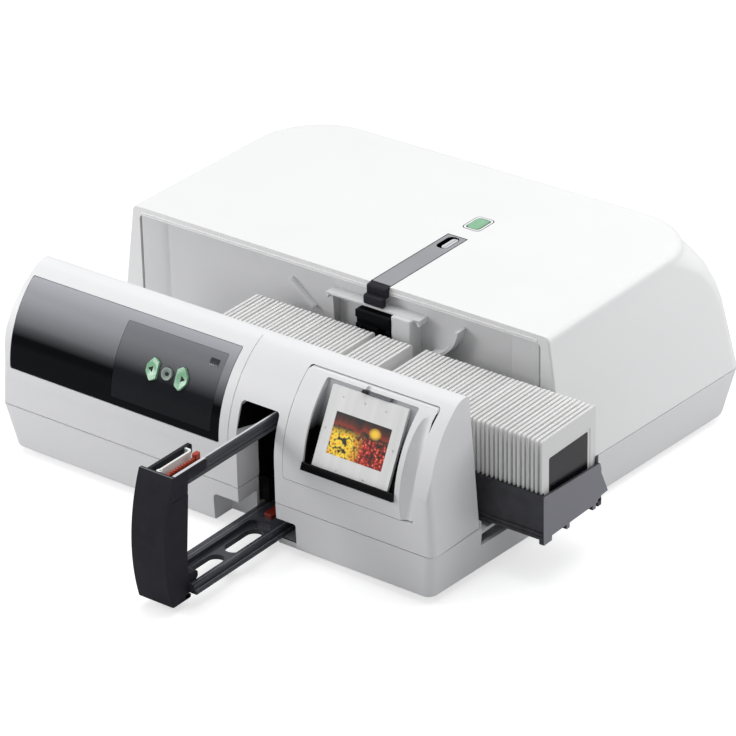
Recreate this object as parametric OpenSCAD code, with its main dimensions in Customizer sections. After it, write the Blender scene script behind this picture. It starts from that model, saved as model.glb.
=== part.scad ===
// Magazine scanner for framed slides and negatives: a low casing with a
// channel for a straight slide magazine between its front block and its
// rear body, a changer arm that draws out of the front, and a light box.
// +X is to the right along the front, +Y to the rear, +Z up.
// The body frame starts at the middle of the front seam, on the floor.
// at_origin() moves it so that the middle of the whole box stands at 0.

/* [Casing] */
// Width of the front block at the seam
body_w = 301.5; // [296:0.5:308]
// Depth from the front face to the rear face at the seam
body_d = 281; // [278:1:290]
// How far each side leans outward by the rear corner, at the seam
side_flare = 16; // [12:1:18]
// Height of the seam between the base and the covers
seam_z = 30; // [29:0.5:31]
// Width of the shadow line along the seam
seam_gap = 0.6; // [0.4:0.1:0.8]
// Wall thickness of the mouldings
wall = 2.4; // [2:0.1:2.8]
// Height of a rubber foot below the base
feet_h = 4; // [3.5:0.5:5]
// Radius of the rubber feet
foot_r = 9; // [7:0.5:11]
// Radius of the upright corners at the front
corner_r = 9; // [6:1:10]

/* [Front block] */
// Depth of the front block
block_d = 41; // [40.5:0.5:42]
// Height at which the front face starts to lean back
brow_z = 54; // [52:0.5:55]
// Radius of the bowed front face
brow_r = 60.5; // [60:0.5:61.5]
// Angle that the bow turns through
brow_a = 58.7; // [58:0.1:59.2]
// Radius from the bow to the crown
crown_r = 16; // [14:0.5:17]
// Radius at the rear edge of the crown
crown_rear_r = 3; // [2:0.5:4]
// How far the right end leans in over its height
right_lean = 6; // [4:0.5:7]

/* [Fascia and keys] */
// Left end of the glossy fascia
fascia_x0 = -141.5; // [-143:0.5:-138]
// Right end of the glossy fascia
fascia_x1 = 8.3; // [6:0.1:10]
// Lower edge of the fascia
fascia_z0 = 54.5; // [53:0.5:56]
// Upper edge of the fascia
fascia_z1 = 102; // [100:0.5:103]
// Thickness of the fascia and of the control plate in it
fascia_t = 1.6; // [1.4:0.1:1.8]
// Left end of the control plate
plate_x0 = -67.7; // [-72:0.1:-64]
// Right end of the control plate
plate_x1 = 2.7; // [1:0.1:4]
// Lower edge of the control plate
plate_z0 = 59; // [57.5:0.5:60]
// Upper edge of the control plate
plate_z1 = 98; // [97:0.5:99]
// Middle of the key row
keys_x = -31; // [-36:0.5:-26]
// Height of the key row
keys_z = 81.2; // [79:0.2:83]
// Spacing of the keys
key_step = 10.4; // [10:0.1:11]
// Width of an arrow key
key_w = 7.8; // [7:0.1:8.2]
// Height of an arrow key
key_h = 13.6; // [12:0.1:15]
// Radius of the round key
key_r = 3.6; // [3:0.1:4]
// Travel of a key
key_travel = 0.8; // [0.6:0.1:1]
// How far the keys stand out of the plate
key_proud = 1.3; // [1.1:0.1:1.6]

/* [Changer arm] */
// Left side of the slot for the arm
slot_x0 = 20.75; // [20:0.25:21]
// Width of the slot
slot_w = 26; // [25.5:0.5:27]
// Height of the top of the slot
slot_top = 82; // [81:0.5:84]
// Travel of the arm from drawn out to pushed in
arm_travel = 89; // [85:0.5:89.5]
// Width of the handle
handle_w = 22.5; // [21.5:0.5:23.5]
// Height of the handle top above the floor
handle_top = 81; // [79:0.5:81.5]
// Height of the handle foot above the floor
handle_z0 = 5; // [4.8:0.1:6]
// Thickness of the handle
handle_d = 18.4; // [17:0.1:18.6]
// Front of the handle when drawn out
handle_y = -90.2; // [-92:0.1:-90]
// Thickness of the upper rail, which follows a slide into its slot
rail_t = 2.8; // [2.4:0.1:3]
// Underside of the upper rail
rail_z0 = 69.6; // [69:0.1:70]
// Height of the upper rail
rail_h = 8.1; // [7.5:0.1:8.4]
// Rear end of both rails when drawn out
rail_y1 = 48.5; // [47:0.5:49]
// Left side of the lower frame
ladder_x0 = 24.9; // [24.5:0.1:25.5]
// Width of the lower frame
ladder_w = 25; // [24:0.5:26]
// Underside of the lower frame
ladder_z0 = 8.2; // [8:0.1:8.6]
// Thickness of the lower frame
ladder_t = 5.4; // [5:0.1:5.6]
// Teeth of the pinion that drives the arm
arm_teeth = 14; // [12:1:15]
// Module of the arm's rack and gears
arm_module = 1; // [0.9:0.05:1]

/* [Magazine] */
// Side of a slide mount
mount_size = 50; // [50:0.5:50]
// Thickness of a slide mount
mount_t = 2; // [1.6:0.1:2.1]
// Width of the picture window
film_w = 36; // [34:0.5:37]
// Height of the picture window
film_h = 24; // [23:0.5:25]
// Number of slots in the magazine
slots = 80; // [76:2:84]
// Spacing of the slots
slot_pitch = 2.875; // [2.8:0.025:2.95]
// Slot that stands at the changer arm, which is empty
empty_slot = 29; // [27:1:31]
// First of the empty slots in the middle
gap_first = 38; // [36:1:40]
// Number of empty slots in the middle
gap_count = 3; // [2:1:4]
// Front of the slides
slides_y = 51.3; // [51:0.1:52]
// Underside of the slides
slides_z = 37.5; // [37:0.1:38.5]
// Underside of the tray
tray_z = 30; // [29.5:0.5:31]
// Upper edge of the tray walls
tray_top = 56.2; // [54:0.1:58]
// Thickness of the tray walls
tray_wall = 1.2; // [1:0.1:1.3]
// Height of the feet of the tray
tray_foot_h = 3; // [2.6:0.1:3.4]
// Teeth of the pinion that moves the magazine
feed_teeth = 14; // [14:1:14]
// Teeth of the gear on the feed motor
feed_gear_teeth = 32; // [32:1:34]

/* [Rear body] */
// Front of the rear cover
lid_y = 114; // [113:0.5:115]
// Top of the rear cover
lid_top = 110; // [108:0.5:112]
// How far the top is narrower than the seam at the front, each side
lid_tuck = 11; // [9:0.5:13]
// Corner radius of the top in plan
lid_r = 44; // [36:1:48]
// How far the channel wall stands behind the cover's rim
wall_set = 2; // [1.5:0.5:3]
// Front of the slide port
port_y = 104; // [103.4:0.1:105]
// Left side of the slide port
port_x0 = 23; // [20:0.5:25]
// Width of the slide port
port_w = 23.3; // [23:0.1:26]
// Top of the slide port
port_top = 96; // [94:0.5:97]
// Width of the slot in the port and the scan gate
gate_slot = 3.6; // [3.4:0.1:4]

/* [Top controls] */
// Left side of the jam slider
strip_x0 = 26.4; // [25:0.1:29]
// Width of the jam slider
strip_w = 13.1; // [12:0.1:14]
// Front end of the jam slider on the top
strip_y0 = 115.8; // [115.4:0.1:116.2]
// Length of the jam slider on the top
strip_l = 71; // [65:1:74]
// Travel of the jam slider
strip_travel = 14; // [10:1:15]
// Middle of the power button
button_y = 207; // [204:0.5:209]
// Width of the power button's bezel
bezel_w = 12.5; // [12:0.1:13.5]
// Length of the power button's bezel
bezel_l = 17.6; // [16:0.1:18.5]
// Travel of the power button
button_travel = 1; // [0.8:0.1:1.2]

/* [Viewer] */
// Left side of the viewer panel
viewer_x0 = 52.75; // [51.5:0.25:54]
// Width of the viewer panel
viewer_w = 85.5; // [84:0.5:86.5]
// Lower edge of the viewer panel
viewer_z0 = 47; // [46:0.5:48]
// Upper edge of the viewer panel
viewer_z1 = 104; // [103:0.25:104.5]
// Left side of the recess in the panel
recess_x0 = 66.5; // [65.5:0.25:67.5]
// Width of the recess
recess_w = 60.5; // [59:0.5:61]
// Lower edge of the recess
recess_z0 = 56; // [55.5:0.5:56.5]
// Upper edge of the recess
recess_z1 = 102; // [101.5:0.25:102.5]

/* [Scan unit] */
// Diameter of the guide rods
rod_d = 5; // [4:0.5:6]
// Diameter of the carriage screw
screw_d = 6; // [5:0.5:6.5]
// Lead of the carriage screw
screw_lead = 4; // [3:0.5:5]
// Half of the carriage travel
scan_half = 18; // [15:0.5:18]
// Running clearance of a shaft in its bore, on the radius
run_fit = 0.08; // [0.05:0.01:0.1]

/* [Hidden] */

$fn = 48;
cut = 1;                                  // how far a cutting shape runs past a face
slack = 0.3;                              // clearance between pieces that move past each other
fit = 0.2;                                // clearance round a piece that is set into another
lap = 0.5;                                // overlap that joins two shapes of one piece

// Colours
grey_shell = [0.86, 0.86, 0.87];
grey_wall = [0.76, 0.76, 0.76];
gloss_black = [0.05, 0.05, 0.06];
matt_black = [0.09, 0.09, 0.11];
tray_grey = [0.26, 0.26, 0.29];
steel = [0.62, 0.63, 0.65];
key_green = [0.62, 0.83, 0.66];
mount_white = [0.93, 0.93, 0.94];
signal_red = [0.72, 0.18, 0.10];
board_green = [0.10, 0.36, 0.20];

half_w = body_w / 2;
floor_z = feet_h;                         // underside of the base shell
deck_z = floor_z + wall;                  // top of the base shell's floor
base_top = seam_z - seam_gap;

// Front profile: circle centres of the bow and the crown
bow_y = brow_r;
bow_end_y = bow_y - brow_r * cos(brow_a);
bow_end_z = brow_z + brow_r * sin(brow_a);
crown_y = bow_end_y + crown_r * cos(brow_a);
crown_z = bow_end_z - crown_r * sin(brow_a);
block_top = crown_z + crown_r;
// Depth of the bowed face at a height, and its lean from upright there
function face_y(z) = z <= brow_z ? 0 : bow_y - sqrt(pow(brow_r, 2) - pow(z - brow_z, 2));
function face_lean(z) = z <= brow_z ? 0 : asin((z - brow_z) / brow_r);

// Magazine
tray_w = slots * slot_pitch;
rail_x = slot_x0 + slot_w / 2 + 6.8;      // plane of the slide that is being changed
slides_x = rail_x - (empty_slot + 0.5) * slot_pitch;
tray_end = 2.2;
tray_x0 = slides_x - tray_end;
tray_x1 = slides_x + tray_w + tray_end;
slides_top = slides_z + mount_size;
tray_y0 = slides_y - slack - tray_wall;
tray_y1 = slides_y + mount_size + slack + tray_wall;
tray_foot_z = tray_z - tray_foot_h;
tray_flare_top = 98.4;                    // rear edge of the tray's ends, above and below
tray_flare_y = 109.4;
tray_flare_z = 32.6;
channel_z = tray_foot_z - 0.3;            // top of the channel floor, with the tray's gliding gap

// Changer arm
slot_x1 = slot_x0 + slot_w;
handle_x0 = slot_x0 + (slot_w - handle_w) / 2;
handle_x1 = handle_x0 + handle_w;
rail_z1 = rail_z0 + rail_h;
ladder_x1 = ladder_x0 + ladder_w;
ladder_z1 = ladder_z0 + ladder_t;
ladder_bar = 6.4;
arm_pitch = PI * arm_module;
arm_r = arm_teeth * arm_module / 2;
rack_line = ladder_x0 - arm_module;       // pitch line of the rack on the frame's left side
arm_gear_x = rack_line - arm_r - 0.1;
arm_gear_y = 28;
arm_gear_r = 18 * arm_module / 2;
motor_pinion_teeth = 12;
motor_pinion_r = motor_pinion_teeth * arm_module / 2;
arm_motor_x = arm_gear_x - arm_gear_r - motor_pinion_r - 0.1;
arm_gear_z = channel_z - 5;

// Feed drive
feed_module = slot_pitch / PI;
feed_r = feed_teeth * feed_module / 2;
feed_gear_r = feed_gear_teeth * feed_module / 2;
feed_rack_y = tray_y1 + 1.2 * feed_module;
feed_x = rail_x;
feed_y = feed_rack_y + feed_r + 0.1;
feed_step_a = 360 / feed_teeth;
feed_line_a = -90 + 5 * feed_step_a;      // a tooth of the pinion points along this line
feed_gear_x = feed_x + (feed_r + feed_gear_r + 0.1) * cos(feed_line_a);
feed_gear_y = feed_y + (feed_r + feed_gear_r + 0.1) * sin(feed_line_a);
feed_z0 = channel_z + 0.5;
feed_t = 4.4;

// Scan unit, behind the slide port
slide_in_y = slides_y + arm_travel - (slides_y - rail_y1);
gate_y1 = slide_in_y + mount_size + 2;
gate_z0 = slides_z - 3;
gate_z1 = slides_top + 3;
axis_y = slide_in_y + mount_size / 2;
axis_z = slides_z + mount_size / 2;
rods_x = rail_x - 52;
rod_z = axis_z - 24;
rod_gap = 44;
screw_z = rod_z;
frame_end_t = 4;
carriage_l = 40;
rod_y0 = lid_y + wall_set + wall + 0.5;
rod_y1 = axis_y + carriage_l / 2 + scan_half + frame_end_t + 2;
carriage_z0 = rod_z - 7;
carriage_t = 14;

// Whole object, for the origin at the middle of its box on the floor
box_x0 = min(-half_w - side_flare, tray_x0);
box_x1 = max(half_w + side_flare, tray_x1);
box_y0 = handle_y;
box_y1 = body_d;
origin_x = (box_x0 + box_x1) / 2;
origin_y = (box_y0 + box_y1) / 2;

module at_origin() translate([-origin_x, -origin_y, 0]) children();

// A box given by its two corners
module block(a, b) translate(a) cube(b - a);

// A round rod between two heights, or along X or Y
module rod_zed(x, y, z0, z1, r) translate([x, y, z0]) cylinder(h = z1 - z0, r = r);
module rod_along_y(x, z, y0, y1, r) translate([x, y0, z]) rotate([-90, 0, 0]) cylinder(h = y1 - y0, r = r);
module rod_along_x(y, z, x0, x1, r) translate([x0, y, z]) rotate([0, 90, 0]) cylinder(h = x1 - x0, r = r);

// Rectangle with round corners, from one corner to the other
module round_rect(a, b, r) {
    translate([a.x + r, a.y]) square([b.x - a.x - 2 * r, b.y - a.y]);
    translate([a.x, a.y + r]) square([b.x - a.x, b.y - a.y - 2 * r]);
    for (x = [a.x + r, b.x - r], y = [a.y + r, b.y - r]) translate([x, y]) circle(r);
}

// Stands a (Y, Z) outline up and runs it along X between two places
module along_x(x0, x1) translate([x0, 0, 0]) rotate([90, 0, 90]) linear_extrude(x1 - x0) children();

right_over = 1.2;                         // how far the right end stands past the base

// Outline of the front block in (Y, Z), drawn in by a distance
module block_outline(d, z0 = seam_z) {
    y1 = block_d - d;
    top = block_top - d;
    difference() {
        union() {
            translate([d, z0]) square([y1 - d, brow_z - z0]);
            intersection() {
                translate([bow_y, brow_z]) circle(brow_r - d, $fn = 180);
                translate([d, brow_z - lap]) square([y1 - d, top - brow_z + lap]);
            }
        }
        difference() {
            polygon([[crown_y, crown_z], [crown_y, block_top + 20],
                [crown_y - 60 * cos(brow_a), crown_z + 60 * sin(brow_a)]]);
            translate([crown_y, crown_z]) circle(crown_r - d, $fn = 96);
        }
        translate([y1 - crown_rear_r, top - crown_rear_r]) difference() {
            square(crown_rear_r + cut);
            circle(crown_rear_r);
        }
        translate([crown_y, top]) square([block_d, 20]);
    }
}

// Outline of the front block seen from above, with round front corners
module block_plan(d) {
    difference() {
        translate([-half_w + d, d - cut]) square([body_w + right_over - 2 * d, block_d + 2 * cut]);
        for (s = [-1, 1]) translate([s * (half_w - d - corner_r) + (s > 0 ? right_over : 0), corner_r + d])
            mirror([s < 0 ? 1 : 0, 0]) difference() {
                translate([0, -corner_r - 2 * cut]) square([corner_r + cut, corner_r + 2 * cut]);
                circle(corner_r);
            }
    }
}

// What lies outside the leaning right end, beyond a distance inside it
module right_end_cut(d) {
    lean = atan(right_lean / (block_top - seam_z));
    translate([half_w + right_over - d, -cut, seam_z]) rotate([0, -lean, 0])
        translate([0, 0, -20]) cube([40, block_d + 2 * cut, 140]);
}

// The front block's solid form, drawn in by a distance
module block_form(d, z0 = seam_z) {
    difference() {
        intersection() {
            along_x(-half_w + d, half_w + right_over - d) block_outline(d, z0);
            translate([0, 0, z0 - cut]) linear_extrude(block_top) block_plan(d);
        }
        right_end_cut(d);
    }
}

// A sheet that follows the bowed face, between two depths, over a window
module face_sheet(d0, d1, x0, x1, z0, z1, r) {
    intersection() {
        along_x(x0, x1) difference() {
            block_outline(d0);
            block_outline(d1);
        }
        translate([0, -cut, 0]) rotate([90, 0, 0]) mirror([0, 0, 1])
            linear_extrude(block_d - 4) round_rect([x0, z0], [x1, z1], r);
    }
}

// Hull of thin levels; each is [z, half width at y0, half width at the rear, rear, corner radius]
module loft(levels, y0, d, front_r) {
    hull() for (l = levels) translate([0, 0, l[0]]) for (s = [-1, 1]) {
        translate([s * (l[1] - d - front_r), y0 + d + front_r, 0]) cylinder(h = 0.2, r = front_r, $fn = 12);
        translate([s * (l[2] - d - l[4]), l[3] - d - l[4], 0]) cylinder(h = 0.2, r = l[4], $fn = 48);
    }
}

// Toothed wheel outline; a tooth points along +X
module gear_outline(teeth, mod, thin = 0.2) {
    r = teeth * mod / 2;
    root = r - 1.1 * mod;
    tip = r + 0.75 * mod;
    root_w = 1.75 * mod - thin;
    tip_w = 0.75 * mod - thin / 2;
    circle(root, $fn = 4 * teeth);
    for (i = [0:teeth - 1]) rotate(i * 360 / teeth)
        polygon([[root - mod, -root_w / 2], [root, -root_w / 2], [tip, -tip_w / 2],
            [tip, tip_w / 2], [root, root_w / 2], [root - mod, root_w / 2]]);
}

// One tooth of a rack, pointing along +Y from its pitch line at 0
module rack_tooth(mod, thin = 0.2) {
    polygon([[-0.85 * mod + thin / 2, -1.1 * mod], [0.85 * mod - thin / 2, -1.1 * mod],
        [0.4 * mod - thin / 4, 0.75 * mod], [-0.4 * mod + thin / 4, 0.75 * mod]]);
}

// ---- Casing ----

base_left_tuck = 8;
base_right_tuck = 2;
base_rear_tuck = 12;
base_corner = 12;
notch_x0 = 3;
notch_top = 21;
notch_d = 16;
notch_t = 2;                              // wall round the finger notch, clear of the arm's gear
base_slot_y = arm_gear_y - 9;             // the handle's foot draws in over this opening
frame_mouth_x1 = 59.8;
frame_mouth_top = 20;
side_notch_z = 19;
channel_y0 = block_d;
channel_y1 = lid_y - 2;
boss_r = 4;
board_z = deck_z + 6;

// Column in a cover over a case screw, within the cover's own form
module screw_column(p) intersection() {
    children();
    difference() {
        rod_zed(p.x, p.y, base_top, max(lid_top, block_top), boss_r);
        rod_zed(p.x, p.y, base_top - cut, screw_top + 1, 1.7);
    }
}

// Outer form of the base, drawn in by a distance
module base_form(d) {
    hull() {
        for (s = [-1, 1]) {
            x0 = s * (half_w - d - corner_r);
            x1 = s * (half_w + side_flare - d - base_corner);
            tuck = s < 0 ? base_left_tuck : -base_right_tuck;
            translate([x0, d + corner_r, base_top - 0.1]) cylinder(h = d > 0 ? cut : 0.1, r = corner_r);
            translate([x1, body_d - d - base_corner, base_top - 0.1])
                cylinder(h = d > 0 ? cut : 0.1, r = base_corner);
            translate([x0 + tuck, d + corner_r + 1, floor_z + d]) cylinder(h = 0.1, r = corner_r);
            translate([x1 + tuck, body_d - d - base_rear_tuck - base_corner, floor_z + d])
                cylinder(h = 0.1, r = base_corner);
        }
    }
}

screw_top = seam_z + 12;
screw_xy = [[18.75 - half_w, 34], [half_w - 7.75, 33], [14.75 - half_w, body_d - 31], [half_w - 14.75, body_d - 31]];
foot_xy = [[22.75 - half_w, 16], [half_w - 26.75, 16], [16.75 - half_w, body_d - 49], [half_w - 16.75, body_d - 49]];
board_x0 = 38.75 - half_w;
board_x1 = -26;
board_y0 = lid_y + 30;
board_y1 = body_d - 31;
board_boss_xy = [for (x = [board_x0 + 6, board_x1 - 8], y = [board_y0 + 6, board_y1 - 6]) [x, y]];

module base_shell() color(grey_shell) at_origin() {
    difference() {
        union() {
            difference() {
                base_form(0);
                difference() {
                    base_form(wall);
                    // Side walls of the arm's tunnel stay in the base
                    block([slot_x0 - wall, 0, 0], [slot_x0, arm_gear_y - 10, base_top]);
                    block([slot_x1, 0, 0], [slot_x1 + wall, arm_gear_y - 10, base_top]);
                    block([notch_x0 - notch_t, 0, 0], [slot_x0, notch_d + notch_t, notch_top + notch_t]);
                }
            }
            // Runners that carry the lower frame
            for (x = [ladder_x0 + 4, ladder_x1 - 4])
                block([x - 1.5, base_slot_y + 1.5, deck_z - lap],
                    [x + 1.5, rail_y1 + arm_travel + 2, ladder_z0 - 0.1]);
            // Bosses for the case screws, and for the board
            for (p = screw_xy) rod_zed(p.x, p.y, deck_z - lap, base_top, boss_r);
            for (p = board_boss_xy) rod_zed(p.x, p.y, deck_z - lap, board_z, boss_r);
        }
        // Slot of the arm, finger notch and mouth of the lower frame
        block([slot_x0, -cut, floor_z - cut], [slot_x1, base_slot_y, base_top + cut]);
        translate([0, notch_d, 0]) rotate([90, 0, 0]) linear_extrude(notch_d + cut)
            round_rect([notch_x0, floor_z - 6], [slot_x0 + 6, notch_top], 3);
        block([slot_x0 + 3, -cut, ladder_z0 - 0.4], [frame_mouth_x1, arm_gear_y - 9, frame_mouth_top]);
        // The magazine channel runs out through both sides
        for (s = [-1, 1]) block([s > 0 ? 100 : -200, channel_y0 + 0.5, side_notch_z],
            [s > 0 ? 200 : -100, channel_y1, base_top + cut]);
        // Screw holes, with seats for the heads
        for (p = screw_xy) {
            rod_zed(p.x, p.y, floor_z - cut, base_top + cut, 1.7);
            rod_zed(p.x, p.y, floor_z - cut, floor_z + 1.5, 3.4);
        }
        // Seats of the feet
        for (p = foot_xy) rod_zed(p.x, p.y, floor_z - cut, floor_z + 0.8, foot_r + 0.1);
        // Vents in the floor under the rear body
        for (i = [0:7]) block([-30 + i * 8, body_d - 81, floor_z - cut], [-26 + i * 8, body_d - 41, deck_z + cut]);
        // Rear openings are in the panel; the base gives it room
        block([panel_x0 - fit, body_d - 24, side_notch_z], [panel_x1 + fit, body_d + cut, base_top + cut]);
    }
}

module rubber_feet() color([0.55, 0.55, 0.56]) at_origin()
    for (p = foot_xy) {
        rod_zed(p.x, p.y, 0, floor_z + 0.8, foot_r);
    }

module case_screws() color(steel) at_origin()
    for (p = screw_xy) difference() {
        union() {
            rod_zed(p.x, p.y, floor_z + 0.1, floor_z + 1.5, 3);
            rod_zed(p.x, p.y, floor_z + 0.1, screw_top, 1.6);
        }
        block([p.x - 0.4, p.y - 2, floor_z - cut], [p.x + 0.4, p.y + 2, floor_z + 0.8]);
        block([p.x - 2, p.y - 0.4, floor_z - cut], [p.x + 2, p.y + 0.4, floor_z + 0.8]);
    }

tunnel_t = 2;
slot_r = 3;                               // radius of the slot's upper corners
seam_groove = 0.5;
groove_x = 14.75;
crease_z = 47.6;
crease_d = 0.6;
viewer_x1 = viewer_x0 + viewer_w;

module front_cover() color(grey_shell) at_origin() {
    difference() {
        union() {
            difference() {
                block_form(0);
                difference() {
                    block_form(wall, seam_z - cut);
                    // Tunnel of the arm
                    block([slot_x0 - tunnel_t, 0, seam_z], [slot_x1 + tunnel_t, block_d, slot_top + tunnel_t]);
                }
            }
            for (i = [0, 1]) screw_column(screw_xy[i]) block_form(wall / 2, base_top);
        }
        // The slot runs right through to the magazine channel
        translate([0, block_d + cut, 0]) rotate([90, 0, 0]) linear_extrude(block_d + 2 * cut)
            round_rect([slot_x0, seam_z - 10], [slot_x1, slot_top], slot_r);
        // Seat of the fascia
        face_sheet(-cut, fascia_t, fascia_x0 - fit, fascia_x1 + fit, fascia_z0 - fit, fascia_z1 + fit, 1);
        // Keys and their board
        face_sheet(-cut, 3 * wall, keys_x - key_step - key_w / 2 - 1, keys_x + key_step + key_w / 2 + 1,
            keys_z - key_h / 2 - 1, keys_z + key_h / 2 + 1, 1);
        // Indicator light
        face_sheet(-cut, 3 * wall, indicator_x0, indicator_x0 + 6.4, indicator_z0, indicator_z0 + 3.2, 0.5);
        // Opening of the viewer
        face_sheet(-cut, 8, viewer_x0 - fit, viewer_x1 + fit, viewer_z0 - fit, viewer_z1 + fit, 4);
        // Line between the key section and the arm section
        along_x(groove_x, groove_x + 0.6) difference() {
            block_outline(-cut);
            block_outline(seam_groove);
        }
        // Low step along the front, under the fascia
        block([-half_w - cut, -cut, seam_z - cut], [slot_x0 - 4, crease_d, crease_z]);
    }
}

module fascia_panel() color(gloss_black) at_origin() difference() {
    face_sheet(0, fascia_t - 0.05, fascia_x0, fascia_x1, fascia_z0, fascia_z1, 0.8);
    face_sheet(-cut, 2 * fascia_t, plate_x0 - fit, plate_x1 + fit, plate_z0 - fit, plate_z1 + fit, 0.8);
}

indicator_x0 = -7.2;
indicator_z0 = 91.6;

// A key's outline, in its own plane: dir is -1 for back, 1 for forward, 0 for the round key
module key_outline(dir, grow = 0) {
    if (dir == 0) circle(key_r + grow);
    else mirror([dir < 0 ? 1 : 0, 0]) intersection() {
        polygon([[-key_w / 2 - grow, -key_h * 0.34 - grow], [0, -key_h / 2 - grow * 1.2],
            [key_w / 2 + grow, -key_h * 0.12], [key_w / 2 + grow, key_h * 0.12],
            [0, key_h / 2 + grow * 1.2], [-key_w / 2 - grow, key_h * 0.34 + grow]]);
        circle(key_h / 2 + grow);
    }
}

// Puts a flat outline on the bowed face at a key's place, from one height over it to another
module on_key_row(dir, h0, h1) {
    translate([keys_x + dir * key_step, face_y(keys_z), keys_z])
        rotate([90 - face_lean(keys_z), 0, 0]) translate([0, 0, h0]) linear_extrude(h1 - h0) children();
}

module control_plate() color(gloss_black) at_origin() difference() {
    face_sheet(0, fascia_t - 0.05, plate_x0, plate_x1, plate_z0, plate_z1, 0.6);
    for (dir = [-1:1]) on_key_row(dir, -4, 4) key_outline(dir, slack);
    face_sheet(-cut, 2 * fascia_t, indicator_x0, indicator_x0 + 6.4, indicator_z0, indicator_z0 + 3.2, 0.5);
}

module indicator_lens() color([0.2, 0.24, 0.22]) at_origin()
    face_sheet(0, 1.2, indicator_x0 + fit / 2, indicator_x0 + 6.4 - fit / 2,
        indicator_z0 + fit / 2, indicator_z0 + 3.2 - fit / 2, 0.4);

key_back_depth = 4.2;                     // how far a key reaches behind the face

module key(dir) {
    on_key_row(dir, -key_back_depth, key_proud) key_outline(dir);
}
module key_back() color(key_green) at_origin() key(-1);
module key_select() color([0.5, 0.56, 0.52]) at_origin() key(0);
module key_forward() color(key_green) at_origin() key(1);

key_board_h = key_back_depth + key_travel + 0.1;
module key_board() color(board_green) at_origin() {
    translate([keys_x, face_y(keys_z), keys_z]) rotate([90 - face_lean(keys_z), 0, 0]) {
        // The board, on two arms that reach the back of the cover, with a dome under each key
        translate([-24, -9, -key_board_h - 1.6]) cube([48, 18, 1.2]);
        for (x = [-22, 22]) translate([x - 1.5, -4, -key_board_h - 1]) cube([3, 8, 3.4]);
        for (i = [-1:1]) translate([i * key_step, 0, -key_board_h - 0.5]) cylinder(h = 0.4, r = 2.2);
    }
}

// ---- Viewer ----

recess_x1 = recess_x0 + recess_w;
viewer_lean = atan((face_y(recess_z1) - face_y(recess_z0)) / (recess_z1 - recess_z0));
seat_x = recess_x0 + recess_w / 2;
seat_y = (face_y(recess_z1) + face_y(recess_z0)) / 2;
seat_z = (recess_z0 + recess_z1) / 2;
seat_h = (recess_z1 - recess_z0) / cos(viewer_lean);
seat_d = 0.6;                             // depth of the seat behind the line between the rims
seat_t = 2;
lip_h = 4.8;                              // height of the lip that the mount stands behind
lip_t = 1;
tip_gap = 1;                              // room in front of the mount, so that it can be tipped out
mount_drop = 0.7;                         // from the recess's lower edge to the mount's
mount_v = mount_drop - seat_h / 2;
picture_v = mount_v + mount_size / 2;
mount_w0 = slack - seat_d;                // back of the mount
groove_r = 4.6;
groove_z = 76;

// The plane of the slide in the viewer: +Z comes out of the panel
module on_viewer() translate([seat_x, seat_y, seat_z]) rotate([90 - viewer_lean, 0, 0]) children();

// A box round the picture window, wider by a margin, between two depths
module picture_block(margin, w0, w1) translate([-film_w / 2 - margin, picture_v - film_h / 2 - margin, w0])
    cube([film_w + 2 * margin, film_h + 2 * margin, w1 - w0]);

module viewer_frame() color(grey_shell) at_origin() difference() {
    union() {
        face_sheet(-0.5, 3, viewer_x0, viewer_x1, viewer_z0, viewer_z1, 3.6);
        // Thicker behind the finger groove
        face_sheet(1, 7.5, viewer_x1 - 2 * groove_r - 3, viewer_x1, viewer_z0 + 2, viewer_z1 - 2, 3);
        // Walls of the recess, back to the seat
        intersection() {
            on_viewer() translate([-recess_w / 2 - 1.6, -seat_h / 2 - 1.2, -seat_d - seat_t])
                cube([recess_w + 3.2, seat_h + 2.4, 20]);
            block_form(0.5);
        }
    }
    on_viewer() translate([-recess_w / 2, -seat_h / 2, -30]) cube([recess_w, seat_h, 60]);
    // Finger groove along the right edge: a straight scoop that the bowed face makes deepest in the middle
    translate([viewer_x1 - 1.2 - groove_r, face_y(groove_z), groove_z]) rotate([-face_lean(groove_z), 0, 0])
        cylinder(h = 80, r = groove_r, center = true);
}

module viewer_surround() color(gloss_black) at_origin() on_viewer() difference() {
    union() {
        translate([-recess_w / 2 + fit, -seat_h / 2 + fit, -seat_d - seat_t])
            cube([recess_w - 2 * fit, seat_h - 2 * fit, seat_t]);
        // Lip in front of the mount, on two cheeks
        translate([-recess_w / 2 + fit, -seat_h / 2 + fit, -seat_d - lap])
            cube([recess_w - 2 * fit, lip_h - fit, mount_w0 + mount_t + tip_gap + lip_t + seat_d + lap]);
    }
    // The mount stands in this trough
    translate([-mount_size / 2 - slack, mount_v - 0.4, -seat_d])
        cube([mount_size + 2 * slack, lip_h + 2, mount_w0 + mount_t + tip_gap + seat_d]);
    picture_block(1, -30, 30);
}

module viewer_mount() color(mount_white) at_origin() on_viewer() difference() {
    translate([-mount_size / 2, mount_v, mount_w0]) cube([mount_size, mount_size, mount_t]);
    picture_block(0, -10, 10);
}

module viewer_film() color([0.45, 0.3, 0.12]) at_origin() on_viewer()
    picture_block(0, mount_w0 + 0.6, mount_w0 + 1);

// Spring clip over the upper edge of the mount, and its tab
clip_x = -5.5;
module viewer_clip() color(matt_black) at_origin() on_viewer() {
    translate([clip_x, mount_v + mount_size + 0.4, -seat_d]) cube([4, seat_h - mount_drop - mount_size - 0.6, 4]);
    translate([clip_x + 4, mount_v + mount_size + 0.4, -seat_d]) cube([14, seat_h - mount_drop - mount_size - 0.6, 3]);
}

module viewer_diffuser() color([0.95, 0.95, 0.92]) at_origin() on_viewer()
    picture_block(3, -seat_d - seat_t - 2, -seat_d - seat_t);

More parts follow.
